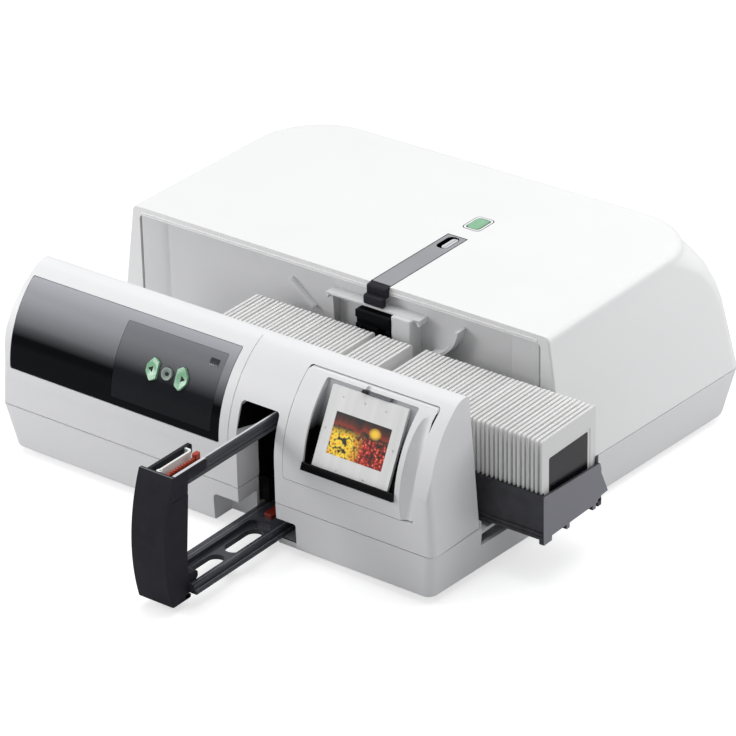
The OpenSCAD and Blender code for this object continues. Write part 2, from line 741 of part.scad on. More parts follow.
module viewer_lamp_board() color(board_green) at_origin() on_viewer() {
    picture_block(3, -seat_d - seat_t - 5, -seat_d - seat_t - 3.6);
    for (x = [-12:8:12], y = [-8, 0, 8])
        translate([x - 1, picture_v + y - 1, -seat_d - seat_t - 4]) cube([2, 2, 2]);
}

// ---- Rear body ----

lid_side = side_flare * (lid_y / body_d); // how far the sides have leaned out by the cover's front
// Half width of the cover at a height, at its front and at its rear
function lid_half(z) = half_w + lid_side - lid_tuck * (z - seam_z) / (lid_top - 6 - seam_z);
lid_levels = [[seam_z, half_w + lid_side, half_w + side_flare, body_d, base_corner],
    [70, lid_half(70), lid_half(70) + 5, body_d - 1, 12],
    [90, lid_half(90), lid_half(90) + 2.2, body_d - 2, lid_r / 2],
    [lid_top - 6, lid_half(lid_top - 6), lid_half(lid_top - 6), body_d - 4, lid_r],
    [lid_top - 1.5, lid_half(lid_top - 6) - 1, lid_half(lid_top - 6) - 1.2, body_d - 6, lid_r],
    [lid_top - 0.2, lid_half(lid_top - 6) - 3, lid_half(lid_top - 6) - 4, body_d - 9, lid_r]];
rim_t = 5;
recess_t = 1.7;                           // depth of the recess for the jam slider
panel_x0 = 46.75 - half_w;
panel_x1 = half_w - 60.75;
panel_z1 = 62;
panel_t = 2;
inner_drop = 3;
rim_d = 3;

module rear_cover() color(grey_shell) at_origin() difference() {
    union() {
        difference() {
            loft(lid_levels, lid_y, 0, 1.2);
            translate([0, 0, -inner_drop]) loft(lid_levels, lid_y + rim_d - wall, wall, 1.2);
        }
        for (i = [2, 3]) screw_column(screw_xy[i]) block([-half_w, lid_y, base_top], [half_w, body_d, lid_top - 2]);
    }
    // The cover's front is open; a rim runs round it
    block([-lid_half(lid_top) + rim_t, lid_y - cut, seam_z - cut],
        [lid_half(lid_top) - rim_t, lid_y + 20, lid_top - rim_t]);
    // Recess for the jam slider, with the way of its hook
    block([strip_x0 - slack, lid_y - cut, lid_top - recess_t],
        [strip_x0 + strip_w + slack, strip_y0 + strip_l + slack, lid_top + cut]);
    // Power button
    translate([strip_x0 + strip_w / 2, button_y, lid_top - 10]) linear_extrude(20)
        round_rect([-bezel_w / 2, -bezel_l / 2], [bezel_w / 2, bezel_l / 2], 3);
    // Opening of the rear panel
    block([panel_x0 - fit, body_d - 12, seam_z - cut], [panel_x1 + fit, body_d + cut, panel_z1 + fit]);
    // Vents beside it
    for (i = [0:6]) block([108 + i * 6, body_d - 12, 44], [111 + i * 6, body_d + cut, 64]);
}

// The wall stands between the slide port and the space behind the cover's rim
wall_y0 = lid_y + wall_set;
wall_half = lid_half(lid_top) - rim_t - 1.2;
ledge_x0 = -0.6;
ledge_x1 = 64;
ledge_z = lid_top - 11.4;
ledge_y = 108;
window_x0 = port_x0 - fit;
window_x1 = port_x0 + port_w + fit;
feed_win_x0 = feed_x - feed_r - 4;
feed_win_x1 = feed_gear_x + feed_gear_r + 4;

module channel_wall() color(grey_wall) at_origin() difference() {
    union() {
        block([-wall_half, wall_y0, channel_z - 2.5], [wall_half, wall_y0 + wall, lid_top - rim_t - 0.3]);
        // Angled pillars at both ends
        for (s = [-1, 1]) linear_extrude_between(tray_z + guide_h + 0.1, lid_top - rim_t - 0.3)
            polygon([[s * wall_half, wall_y0 + wall], [s * wall_half, wall_y0 - 1.6],
                [s * (wall_half - 14), wall_y0 - 1.6], [s * (wall_half - 19), wall_y0 + wall]]);
        // Shelf and cheeks round the slide port
        block([ledge_x0, ledge_y, ledge_z - 1.4], [ledge_x1, wall_y0 + lap, ledge_z]);
        for (x = [ledge_x0 + 2.2, ledge_x1 - 11]) block([x, ledge_y + 1.5, 46], [x + 1.6, wall_y0 + lap, ledge_z - lap]);
        // Slanted rib to the left of the port
        translate([-30.3, 0, 96]) rotate([0, 38.6, 0]) block([0, wall_y0 - 4, -1], [22, wall_y0 + lap, 1]);
        // Curved deflector that ends at the first slides to the right of the port
        translate([0, wall_y0 + lap, 0]) rotate([90, 0, 0]) linear_extrude(wall_y0 + lap - ledge_y) difference() {
            translate([66, 102]) circle(24);
            translate([66, 102]) circle(22.2);
            translate([30, 99]) square([80, 60]);
            translate([30, 70]) square([39, 60]);
        }
    }
    block([window_x0, wall_y0 - 4, gate_z0 - 1], [window_x1, wall_y0 + wall + cut, port_top + fit]);
    // Window for the feed pinion
    block([feed_win_x0, wall_y0 - 4, channel_z - 4], [feed_win_x1, wall_y0 + wall + cut, feed_z0 + feed_t + 1.5]);
}

module linear_extrude_between(z0, z1) translate([0, 0, z0]) linear_extrude(z1 - z0) children();

guide_h = 3;
guide_half = lid_half(lid_top) - rim_t - 0.3;     // the rear guide ends inside the rear cover's opening
floor_half = half_w + 1;
module channel_floor() color(grey_wall) at_origin() difference() {
    union() {
        block([-floor_half, block_d + 0.8, channel_z - 2], [floor_half, wall_y0 - 0.2, channel_z]);
        // Low guides on both sides of the tray
        block([-floor_half, block_d + 0.8, channel_z - lap], [floor_half, block_d + 2.6, tray_z + guide_h]);
        for (x = [[-guide_half, feed_win_x0], [feed_win_x1, guide_half]])
            block([x[0], wall_y0 - 2, channel_z - lap], [x[1], wall_y0 - 0.2, tray_z + guide_h]);
        // Legs down to the base, clear of the arm
        for (x = [-120, -60, -10, 100]) block([x, 70, deck_z], [x + 3, 90, channel_z - 2 + lap]);
    }
    // Way of the arm through the front guide
    block([slot_x0, block_d, channel_z - lap + 0.5], [slot_x1, block_d + 4, 60]);
    // Round seat of the feed pinion's shaft
    rod_zed(feed_x, feed_y, channel_z - 4, channel_z + cut, 1.5 + run_fit);
}

module slide_port() color(gloss_black) at_origin() difference() {
    block([port_x0, port_y, gate_z0], [port_x0 + port_w, wall_y0 + wall, port_top]);
    block([rail_x - gate_slot / 2, port_y - cut, slides_z - 0.4], [rail_x + gate_slot / 2, wall_y0 + wall + cut, slides_top + 0.4]);
    // Funnel at the mouth
    translate([rail_x, port_y + 2.6, 0]) linear_extrude_between(slides_z - 0.4, slides_top + 0.4)
        polygon([[-gate_slot / 2, 0], [-gate_slot / 2 - 1.5, -3], [gate_slot / 2 + 1.5, -3], [gate_slot / 2, 0]]);
    block([port_x0 - cut, port_y - cut, port_top - 8.5], [port_x0 + port_w + cut, port_y + 1.2, port_top - 4.5]);
    // The sloping ends of the tray pass under the mouth
    block([port_x0 - cut, port_y - cut, gate_z0 - cut], [port_x0 + port_w + cut, tray_flare_y + 1.5, tray_top + 2]);
}

// ---- Top controls ----

strip_z0 = lid_top - recess_t + 0.1;
module jam_slider_strip() color([0.5, 0.5, 0.52]) at_origin() difference() {
    block([strip_x0, strip_y0, strip_z0], [strip_x0 + strip_w, strip_y0 + strip_l, lid_top + 0.1]);
    translate([strip_x0 + strip_w / 2, 0, lid_top - 1]) linear_extrude(4)
        round_rect([-strip_w / 2 + 3, strip_y0 + strip_l - 20], [strip_w / 2 - 3, strip_y0 + strip_l - 4], 2.5);
}

hook_step_y = 3.4;
module jam_slider_hook() color(matt_black) at_origin() {
    x0 = strip_x0;
    x1 = strip_x0 + strip_w;
    block([x0, lid_y - slack - hook_step_y, strip_z0], [x1, strip_y0, lid_top - 0.1]);
    block([x0, lid_y - slack - hook_step_y, lid_top - 6], [x1, lid_y - slack, lid_top - 0.4]);
    block([x0, lid_y - slack - 2 * hook_step_y, ledge_z + 0.6], [x1, lid_y - slack - hook_step_y + lap, lid_top - 5]);
}

button_x = strip_x0 + strip_w / 2;
module power_bezel() color([0.15, 0.17, 0.16]) at_origin() difference() {
    union() {
        translate([button_x, button_y, lid_top - 4]) linear_extrude(4.1)
            round_rect([-bezel_w / 2 + 0.1, -bezel_l / 2 + 0.1], [bezel_w / 2 - 0.1, bezel_l / 2 - 0.1], 2.9);
    }
    translate([button_x, button_y, lid_top - 5]) linear_extrude(8)
        round_rect([-bezel_w / 2 + 1.6, -bezel_l / 2 + 1.6], [bezel_w / 2 - 1.6, bezel_l / 2 - 1.6], 2.4);
}

module power_button() color(key_green) at_origin() difference() {
    translate([button_x, button_y, lid_top - 7]) linear_extrude(7.5)
        round_rect([-bezel_w / 2 + 1.9, -bezel_l / 2 + 1.9], [bezel_w / 2 - 1.9, bezel_l / 2 - 1.9], 2.1);
    // Dished top
    translate([button_x, button_y, lid_top + 20]) rotate([90, 0, 0]) translate([0, 0, -20]) cylinder(h = 40, r = 20, $fn = 120);
}

// ---- Changer arm ----

plate_l = 29;
plate_h = 6.5;
side_plate_t = 2;
foot_l = 26;
handle_front_t = 11.1;                    // from the handle's front to its hollow, over the bow
handle_open_h = 7;                        // height of the hollow's opening to the rear

// Bowed outline of the handle in (Y, Z)
module handle_outline() {
    bow = 115;
    intersection() {
        translate([handle_y, handle_z0]) square([handle_d + 10, handle_top - handle_z0]);
        translate([handle_y + bow, handle_z0 + 31]) circle(bow, $fn = 180);
        translate([handle_y - 1, handle_z0]) square([handle_d + 1, 100]);
    }
}

module arm_handle() color(matt_black) at_origin() difference() {
    union() {
        difference() {
            along_x(handle_x0, handle_x1) handle_outline();
            // Hollow inside, and open to the rear between the side plates
            block([handle_x0 + 2, handle_y + handle_front_t, handle_z0 + 24],
                [handle_x1 - 2, handle_y + handle_d - 2, handle_top + cut]);
            block([handle_x0 - cut, handle_y + handle_front_t, handle_top - handle_open_h],
                [handle_x1 - 2, handle_y + handle_d + cut, handle_top + cut]);
        }
        // Side plates that carry the upper rail
        block([handle_x1 - side_plate_t, handle_y + 10.5, handle_top - plate_h], [handle_x1, handle_y + 8 + plate_l, handle_top]);
        block([handle_x0 + 4, handle_y + 10.5, handle_top - plate_h],
            [handle_x0 + 4 + side_plate_t, handle_y + 12 + plate_l + 4, handle_top]);
        // Pin of the lever
        rod_zed(lever_pin_x, lever_pin_y, handle_top - 8.4, handle_top - 2.4, 0.7);
        block([handle_x0 + 1, lever_pin_y - 3, handle_top - 8.4], [handle_x1 - 1, lever_pin_y + 2, handle_top - 6.3]);
        // Foot that holds the lower frame
        block([handle_x1 - 15, handle_y + handle_d - lap, ladder_z0], [handle_x1, handle_y + foot_l, ladder_z0 + 11]);
    }
    // Seats of the rails
    block([rail_x - rail_t / 2, handle_y + 9, rail_z0], [rail_x + rail_t / 2, handle_y + 60, rail_z1]);
    block([handle_x0 - cut, handle_y + ladder_set, ladder_z0], [ladder_x1 + cut, handle_y + 60, ladder_z1]);
}

module arm_upper_rail() color([0.3, 0.3, 0.33]) at_origin() difference() {
    block([rail_x - rail_t / 2, handle_y + 9, rail_z0], [rail_x + rail_t / 2, rail_y1, rail_z1]);
    // Long grooves along both sides
    for (s = [-1, 1]) {
        block([rail_x + s * rail_t / 2 - 0.5, handle_y + 40, rail_z0 + 2.4], [rail_x + s * rail_t / 2 + 0.5, rail_y1 + cut, rail_z0 + 3.2]);
        block([rail_x + s * rail_t / 2 - 0.4, handle_y + 40, rail_z0 + 4.9], [rail_x + s * rail_t / 2 + 0.4, rail_y1 + cut, rail_z0 + 5.6]);
    }
}

rack_y0 = arm_gear_y - arm_travel - 1.5 * arm_pitch;
rack_n = ceil((arm_travel + 3 * arm_pitch) / arm_pitch);
rack_z1 = ladder_z0 + 3.8;
ladder_set = 11;                          // the lower frame's front end sits this far inside the handle

module arm_lower_frame() color([0.3, 0.3, 0.33]) at_origin() {
    difference() {
        block([ladder_x0, handle_y + ladder_set, ladder_z0], [ladder_x1, rail_y1, ladder_z1]);
        // Two long windows with round ends, and a thinner inner ledge
        for (y = [[-69, -36], [-31, -3]]) translate([0, 0, ladder_z0 - cut]) linear_extrude(ladder_t + 2 * cut)
            round_rect([ladder_x0 + ladder_bar + 1.4, y[0]], [ladder_x1 - ladder_bar, y[1]], (ladder_w - 2 * ladder_bar - 1.4) / 2 - 0.01);
        translate([0, 0, ladder_z0 + 3]) linear_extrude(ladder_t)
            round_rect([ladder_x0 + 4.2, -73], [ladder_x1 - 5, 1], 4);
        block([ladder_x1 - 1.6, handle_y, ladder_z0 + 2.2], [ladder_x1 + cut, rail_y1 + cut, ladder_z1 + cut]);
        // Seat of the red stop
        block([33, 6, ladder_z1 - 1], [39, 18, ladder_z1 + cut]);
    }
    // The rack, under a smooth edge
    block([ladder_x0 - 1.9, handle_y + ladder_set, rack_z1 + 0.2], [ladder_x0 + lap, rail_y1, ladder_z1]);
    for (i = [0:rack_n]) translate([ladder_x0 - arm_module, rack_y0 + i * arm_pitch + rack_phase, ladder_z0 + 0.3]) rotate(90)
        linear_extrude(rack_z1 + 0.3 - ladder_z0) rack_tooth(arm_module);
}
// A gap of the rack faces the pinion's tooth when the arm is drawn out
rack_phase = arm_gear_y - rack_y0 - (floor((arm_gear_y - rack_y0) / arm_pitch) + 0.5) * arm_pitch;

// White leaf that steadies the slide's upper edge; it hooks round to the left plate
leaf_x = rail_x - 8.4;
leaf_l = 27;
leaf_t = 1.2;
module arm_slide_spring() color(mount_white) at_origin()
    linear_extrude_between(handle_top - 6, handle_top - 0.4) difference() {
        union() {
            translate([leaf_x, handle_y + 13]) square([leaf_t, leaf_l]);
            translate([handle_x0 + 4 + side_plate_t, handle_y + 13 + leaf_l - leaf_t])
                square([leaf_x - handle_x0 - 4 - side_plate_t + lap, leaf_t]);
            translate([leaf_x + 1, handle_y + 13]) circle(1.6);
        }
        translate([leaf_x + 1.4, handle_y + 13.4]) circle(0.7);
    }

module arm_stop() color(signal_red) at_origin()
    block([33.1, 6.1, ladder_z1 - 1], [38.9, 17.9, ladder_z1 + 2.4]);

// Red lever that loosens the slide; it turns on a pin between the side plates
lever_pin_x = rail_x - 3.1;
lever_pin_y = handle_y + 13;
lever_l = 27;
lever_t = 1.6;
module eject_lever() color(signal_red) at_origin() translate([lever_pin_x, lever_pin_y, 0]) {
    linear_extrude_between(handle_top - 6, handle_top - 2) difference() {
        union() {
            circle(1.7);
            translate([-lever_t / 2, 0]) square([lever_t, lever_l]);
        }
        circle(0.7 + run_fit);
    }
    // Knob at its end
    linear_extrude_between(handle_top - 6, handle_top + 0.3) translate([-1.3, lever_l - 4]) square([2.2, 4]);
}

shaft_r = 1.5;
module arm_pinion() color([0.85, 0.83, 0.75]) at_origin() translate([arm_gear_x, arm_gear_y, 0]) {
    linear_extrude_between(ladder_z0 + 0.4, rack_z1 - 0.1) gear_outline(arm_teeth, arm_module);
    linear_extrude_between(rack_z1 - 0.2, arm_gear_z) circle(4);
    linear_extrude_between(arm_gear_z - 0.1, arm_gear_z + 3) rotate(arm_gear_turn) gear_outline(18, arm_module);
    rod_zed(0, 0, deck_z + 0.02, ladder_z0 + 0.5, shaft_r);
}
arm_gear_turn = 180;
module arm_motor_pinion() color([0.85, 0.83, 0.75]) at_origin() translate([arm_motor_x, arm_gear_y, 0])
    difference() {
        linear_extrude_between(arm_gear_z - 0.1, arm_gear_z + 3.4) rotate(180 / motor_pinion_teeth)
            gear_outline(motor_pinion_teeth, arm_module);
        rod_zed(0, 0, arm_gear_z - cut, arm_gear_z + 5, shaft_r + run_fit);
    }
module arm_motor() color(steel) at_origin() {
    rod_zed(arm_motor_x, arm_gear_y, arm_gear_z + 4, arm_gear_z + 26, 9.5);
    rod_zed(arm_motor_x, arm_gear_y, deck_z, arm_gear_z + 5, shaft_r);
    // Bracket that stands on the base
    block([arm_motor_x - 9, arm_gear_y - 5, deck_z], [arm_motor_x - 7.4, arm_gear_y + 5, arm_gear_z + 4.2]);
}

// ---- Magazine ----

function slot_x(i) = slides_x + (i + 0.5) * slot_pitch;
module tray_foot(x) {
    for (y = [tray_y0 + 1, tray_y0 + 18, tray_y0 + 36]) block([x, y, tray_foot_z], [x + 3, y + 4, tray_z + lap]);
}

module magazine_tray() color(tray_grey) at_origin() difference() {
    union() {
        block([tray_x0, tray_y0, tray_z], [tray_x1, tray_y1, tray_top]);
        // End plates, which widen downward to the rear
        for (x = [tray_x0, tray_x1 - tray_end + 0.6]) along_x(x, x + tray_end - 0.6)
            polygon([[tray_y0, tray_z], [tray_y0, tray_top], [tray_flare_top, tray_top],
                [tray_flare_y, tray_flare_z], [tray_y1, tray_flare_z], [tray_y1, tray_z]]);
        // Flange along the foot of the front, and the rack at the rear
        block([tray_x0, tray_y0 - 0.8, tray_z], [tray_x1, tray_y0 + lap, tray_z + 4]);
        linear_extrude_between(feed_z0, feed_z0 + feed_t) {
            translate([tray_x0, tray_y1 - 3]) square([tray_x1 - tray_x0, feed_rack_y - feed_module - tray_y1 + 3]);
            for (i = [0:slots - 1]) translate([slides_x + i * slot_pitch, feed_rack_y]) rack_tooth(feed_module);
        }
        for (x = [tray_x0 + 1, tray_x0 + tray_w / 3, tray_x0 + 2 * tray_w / 3, tray_x1 - 4]) tray_foot(x);
    }
    // Room for the slides
    block([tray_x0 + tray_end - 0.6, tray_y0 + tray_wall, slides_z], [tray_x1 - tray_end + 0.6, tray_y1 - tray_wall, tray_top + cut]);
    // Hollow under the slides
    block([tray_x0 + tray_end, tray_y0 + 6, tray_z - cut], [tray_x1 - tray_end, tray_y1 - 6, slides_z - 3]);
}

module mount_at(x) {
    difference() {
        block([x - mount_t / 2, slides_y, slides_z], [x + mount_t / 2, slides_y + mount_size, slides_top]);
        translate([x, slides_y + mount_size / 2, slides_z + mount_size / 2])
            cube([mount_t + 2 * cut, film_w, film_h], center = true);
    }
}
left_slots = [0:empty_slot - 1];
middle_slots = [empty_slot + 1:gap_first - 1];
right_slots = [gap_first + gap_count:slots - 1];

module slide_mounts_left() color(mount_white) at_origin() for (i = left_slots) mount_at(slot_x(i));
module slide_mounts_middle() color(mount_white) at_origin() for (i = middle_slots) mount_at(slot_x(i));
module slide_mounts_right() color(mount_white) at_origin() for (i = right_slots) mount_at(slot_x(i));

module slide_films() color([0.12, 0.11, 0.12]) at_origin()
    for (r = [left_slots, middle_slots, right_slots], i = r)
        translate([slot_x(i), slides_y + mount_size / 2, slides_z + mount_size / 2])
            cube([0.4, film_w, film_h], center = true);

module feed_pinion() color([0.85, 0.83, 0.75]) at_origin() translate([feed_x, feed_y, 0]) {
    linear_extrude_between(feed_z0, feed_z0 + feed_t) rotate(-90) gear_outline(feed_teeth, feed_module);
    rod_zed(0, 0, channel_z - 2.2, feed_z0 + lap, 1.5);
}
module feed_gear() color([0.85, 0.83, 0.75]) at_origin() translate([feed_gear_x, feed_gear_y, 0]) difference() {
    linear_extrude_between(feed_z0 + 0.2, feed_z0 + feed_t - 0.2)
        rotate(feed_line_a + 180 + 180 / feed_gear_teeth) gear_outline(feed_gear_teeth, feed_module);
    rod_zed(0, 0, feed_z0 - cut, feed_z0 + feed_t + cut, 2 + run_fit);
}
module feed_motor() color(steel) at_origin() {
    rod_zed(feed_gear_x, feed_gear_y, deck_z, channel_z - 4.7, 6.5);
    rod_zed(feed_gear_x, feed_gear_y, deck_z + 2, feed_z0 + feed_t, 2);
    rod_zed(feed_gear_x, feed_gear_y, deck_z + 4, feed_z0 - 0.1, 3.2);
}

// ---- Scan unit ----

gate_wall = 3;
module scan_gate() color(matt_black) at_origin() difference() {
    union() {
        block([rail_x - gate_slot / 2 - gate_wall, wall_y0 + wall, gate_z0],
            [rail_x + gate_slot / 2 + gate_wall, gate_y1, gate_z1]);
        // Feet on the base
        for (y = [wall_y0 + wall + 26, gate_y1 - 6]) block([rail_x + gate_slot / 2, y, deck_z],
            [rail_x + gate_slot / 2 + gate_wall, y + 5, gate_z0 + lap]);
    }
    block([rail_x - gate_slot / 2, wall_y0 - cut, slides_z - 0.4], [rail_x + gate_slot / 2, gate_y1 - 1.6, slides_top + 0.4]);
    // Picture window
    block([rail_x - 20, axis_y - film_w / 2 - 1, axis_z - film_h / 2 - 1], [rail_x + 20, axis_y + film_w / 2 + 1, axis_z + film_h / 2 + 1]);
}

// Two end plates on a foot carry the rods and the screw
module scan_frame() color([0.2, 0.2, 0.22]) at_origin() difference() {
    union() {
        for (y = [rod_y0, rod_y1 - frame_end_t]) {
            block([rods_x - 10, y, deck_z], [slot_x0 - 2, y + frame_end_t, rod_z + 8]);
            block([rods_x - 10, y, rod_z - 8], [rods_x + rod_gap - 2, y + frame_end_t, rod_z + 8]);
        }
        block([rods_x - 10, rod_y0, deck_z], [rods_x - 6, rod_y1, deck_z + 4]);
    }
    for (x = [rods_x, rods_x + rod_gap - 8]) rod_along_y(x, rod_z, rod_y0 - cut, rod_y1 + cut, rod_d / 2);
    rod_along_y(screw_x, screw_z, rod_y0 - cut, rod_y1 + cut, screw_d / 2 + run_fit);
}
screw_x = rods_x + (rod_gap - 8) / 2;

module guide_rods() color(steel) at_origin()
    for (x = [rods_x, rods_x + rod_gap - 8]) rod_along_y(x, rod_z, rod_y0 - 0.4, rod_y1 + 0.6, rod_d / 2);

module carriage_screw() color(steel) at_origin()
    rod_along_y(screw_x, screw_z, rod_y0 - 0.4, rod_y1 + 3, screw_d / 2);

module carriage_motor() color(steel) at_origin() difference() {
    union() {
        rod_along_y(screw_x, screw_z, rod_y1 + 0.2, rod_y1 + 24, 11);
        block([screw_x - 4, rod_y1 + 6, deck_z], [screw_x + 4, rod_y1 + 18, screw_z - 8]);
    }
    rod_along_y(screw_x, screw_z, rod_y1 - cut, rod_y1 + 6, screw_d / 2 + run_fit);
}

lens_x1 = rail_x - 14;
lens_x0 = lens_x1 - 26;
lens_r = 11;
module scan_carriage() color(matt_black) at_origin() difference() {
    union() {
        block([rods_x - 6, axis_y - carriage_l / 2, carriage_z0], [rods_x + rod_gap - 2, axis_y + carriage_l / 2, carriage_z0 + carriage_t]);
        // Seat of the lens, and the bracket of the sensor
        block([lens_x0 + 3, axis_y - 14, carriage_z0 + carriage_t - lap], [lens_x1 - 3, axis_y + 14, axis_z + 4]);
        block([rods_x - 6, axis_y - 16, carriage_z0 + carriage_t - lap], [rods_x - 3, axis_y + 16, axis_z + 12]);
    }
    for (x = [rods_x, rods_x + rod_gap - 8]) rod_along_y(x, rod_z, axis_y - 40, axis_y + 40, rod_d / 2 + run_fit);
    rod_along_y(screw_x, screw_z, axis_y - 40, axis_y + 40, screw_d / 2 + run_fit);
    rod_along_x(axis_y, axis_z, lens_x0 - 10, lens_x1 + 10, lens_r + 0.03);
}
module scan_lens() color([0.12, 0.12, 0.14]) at_origin() difference() {
    rod_along_x(axis_y, axis_z, lens_x0, lens_x1, lens_r);
    rod_along_x(axis_y, axis_z, lens_x1 - 4, lens_x1 + cut, lens_r - 3);
    rod_along_x(axis_y, axis_z, lens_x0 - cut, lens_x0 + 4, lens_r - 4);
}
module sensor_board() color(board_green) at_origin() {
    block([rods_x - 3, axis_y - 15, axis_z - 11], [rods_x - 1.4, axis_y + 15, axis_z + 11]);
    block([rods_x - 1.5, axis_y - 8, axis_z - 3], [rods_x + 0.4, axis_y + 8, axis_z + 3]);
}
module scan_lamp() color([0.8, 0.8, 0.78]) at_origin() {
    x0 = rail_x + gate_slot / 2 + gate_wall;
    block([x0, axis_y - film_w / 2 - 4, axis_z - film_h / 2 - 4], [x0 + 12, axis_y + film_w / 2 + 4, axis_z + film_h / 2 + 4]);
    for (i = [0:4]) block([x0 + 11, axis_y - 20 + i * 9, axis_z - 14], [x0 + 20, axis_y - 18 + i * 9, axis_z + 14]);
}

module main_board() color(board_green) at_origin() {
    block([board_x0, board_y0, board_z], [board_x1, board_y1, board_z + 1.6]);
    for (p = [[0.14, 0.15, 12], [0.37, 0.3, 16], [0.19, 0.58, 9], [0.49, 0.79, 7], [0.72, 0.23, 7]])
        translate([board_x0 + p.x * (board_x1 - board_x0), board_y0 + p.y * (board_y1 - board_y0), board_z + 1.5])
            cube([p.z, p.z, 1.9]);
}

// ---- Rear panel ----

panel_y = body_d - 5;
port_z = 38;
module rear_panel() color(grey_wall) at_origin() difference() {
    block([panel_x0, panel_y - panel_t, side_notch_z], [panel_x1, panel_y, panel_z1]);
    for (x = [panel_x0 + 24, panel_x0 + 46]) block([x, panel_y - 5, port_z], [x + 12, panel_y + cut, port_z + 10.6]);
    rod_along_y(panel_x0 + 76, port_z + 5, panel_y - 5, panel_y + cut, 5);
    block([panel_x1 - 60, panel_y - 5, port_z - 4], [panel_x1 - 40, panel_y + cut, port_z + 10]);
}
module data_ports() color(steel) at_origin()
    for (x = [panel_x0 + 24, panel_x0 + 46]) difference() {
        block([x + 0.1, panel_y - 14, port_z + 0.1], [x + 11.9, panel_y + 0.4, port_z + 10.5]);
        block([x + 1.2, panel_y - 8, port_z + 1.2], [x + 10.8, panel_y + cut, port_z + 9.4]);
    }
module power_inlet() color(matt_black) at_origin() difference() {
    union() {
        rod_along_y(panel_x0 + 76, port_z + 5, panel_y - 12, panel_y + 0.6, 4.9);
        block([panel_x0 + 70, panel_y - 14, port_z - 1], [panel_x0 + 82, panel_y - panel_t, port_z + 11]);
    }
    rod_along_y(panel_x0 + 76, port_z + 5, panel_y - 9, panel_y + cut, 2.8);
    rod_along_y(panel_x0 + 76, port_z + 5, panel_y - 30, panel_y - 20, 1);
}
rocker_z = port_z + 3;
module mains_rocker() color(matt_black) at_origin() translate([0, panel_y, rocker_z]) along_x(panel_x1 - 59.6, panel_x1 - 40.4)
    polygon([[-6, -4.6], [1.8, -6.3], [0.9, 0], [1.8, 6.3], [-6, 4.6]]);

base_shell();
front_cover();
fascia_panel();
control_plate();
indicator_lens();
key_back();
key_select();
key_forward();
key_board();
viewer_frame();
viewer_surround();
viewer_clip();
viewer_diffuser();
viewer_lamp_board();
viewer_mount();
viewer_film();
rear_cover();
channel_wall();
channel_floor();
slide_port();
jam_slider_strip();
jam_slider_hook();
power_bezel();
power_button();
arm_handle();
arm_upper_rail();
arm_lower_frame();
arm_slide_spring();
arm_stop();
eject_lever();
arm_pinion();
arm_motor();
arm_motor_pinion();
magazine_tray();
slide_mounts_left();
slide_mounts_middle();
slide_mounts_right();
slide_films();
feed_pinion();
feed_gear();
feed_motor();
scan_gate();
scan_frame();
guide_rods();
scan_carriage();
scan_lens();
sensor_board();
carriage_screw();
carriage_motor();
scan_lamp();
main_board();
data_ports();
power_inlet();
mains_rocker();
rear_panel();
rubber_feet();
case_screws();
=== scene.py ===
"""A scanner for framed slides: every visible piece, its finish, and the studio round it."""

from __future__ import annotations

import logging
import math
import random
from dataclasses import dataclass
from enum import Enum
from typing import Callable, Sequence

import bmesh
import bpy
from mathutils import Matrix, Vector

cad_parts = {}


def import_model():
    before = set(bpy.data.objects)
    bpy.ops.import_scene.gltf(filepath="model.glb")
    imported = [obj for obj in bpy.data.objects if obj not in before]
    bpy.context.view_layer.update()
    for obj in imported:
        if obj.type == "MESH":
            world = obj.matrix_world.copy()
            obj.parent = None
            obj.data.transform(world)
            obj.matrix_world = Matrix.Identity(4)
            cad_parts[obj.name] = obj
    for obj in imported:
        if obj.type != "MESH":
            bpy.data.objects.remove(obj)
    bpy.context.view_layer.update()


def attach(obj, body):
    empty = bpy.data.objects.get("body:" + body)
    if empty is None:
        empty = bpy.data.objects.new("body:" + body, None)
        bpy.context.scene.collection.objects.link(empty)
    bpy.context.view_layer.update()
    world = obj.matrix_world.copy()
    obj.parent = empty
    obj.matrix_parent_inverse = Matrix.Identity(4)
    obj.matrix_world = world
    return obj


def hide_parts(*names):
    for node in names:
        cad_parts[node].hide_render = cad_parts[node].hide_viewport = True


LOG = logging.getLogger("slide_scanner")
MM = 0.001
CASE_ORIGIN = Vector((-10.59375, -95.4, 0.0))
STRAIGHT = 0.99  # the least share of an edge's run that lies along the axis it is said to follow
DOUBLES = 1e-6  # how near two vertices lie that are merged, in metres
SMOOTH_ANGLE = 32.0  # faces that meet at less than this are shaded as one, in degrees
ABOVE = 130.0  # a height above the whole casing, for tools that cut through it
ARM_SLOT = (20.75, 46.75)  # the sides of the changer arm's slot
FEED_WINDOW = (30.14, 75.8)  # the sides of the opening for the feed pinion and its motor
PANEL_GAP = (-104.2, 90.2)  # the sides of the rear panel's opening
FEET = ((-128.0, 16.0), (124.0, 16.0), (-134.0, 232.0), (134.0, 232.0))
SCREWS = ((-132.0, 34.0), (143.0, 33.0), (-136.0, 250.0), (136.0, 250.0))

Point = tuple[float, float, float]
Span = tuple[float, float]
Pairs = tuple[tuple[str, str], ...]
Opening = tuple[float, Span, Span, float]  # depth, lower left and upper right corner, radius
Piece = bpy.types.Object
Tree = bpy.types.NodeTree
Socket = bpy.types.NodeSocket
Test = Callable[[Vector, Vector], bool]
PlaceTest = Callable[[Vector], bool]


class Axis(Enum):
    """The three directions along which rods and edges run."""

    X = 0
    Y = 1
    Z = 2


class Kind(Enum):
    """What a selection in edit mode is made of."""

    VERTS = "VERT"
    EDGES = "EDGE"
    FACES = "FACE"


def everywhere(place: Vector, heading: Vector) -> bool:
    """Pass every part."""
    return True


def along(axis: Axis, where: PlaceTest | None = None) -> Test:
    """Give a test for edges that run along an axis.

    Args:
        axis: The axis.
        where: A further test of an edge's middle.

    Returns:
        The test.
    """
    return lambda place, run: abs(run[axis.value]) > STRAIGHT and (where is None or where(place))


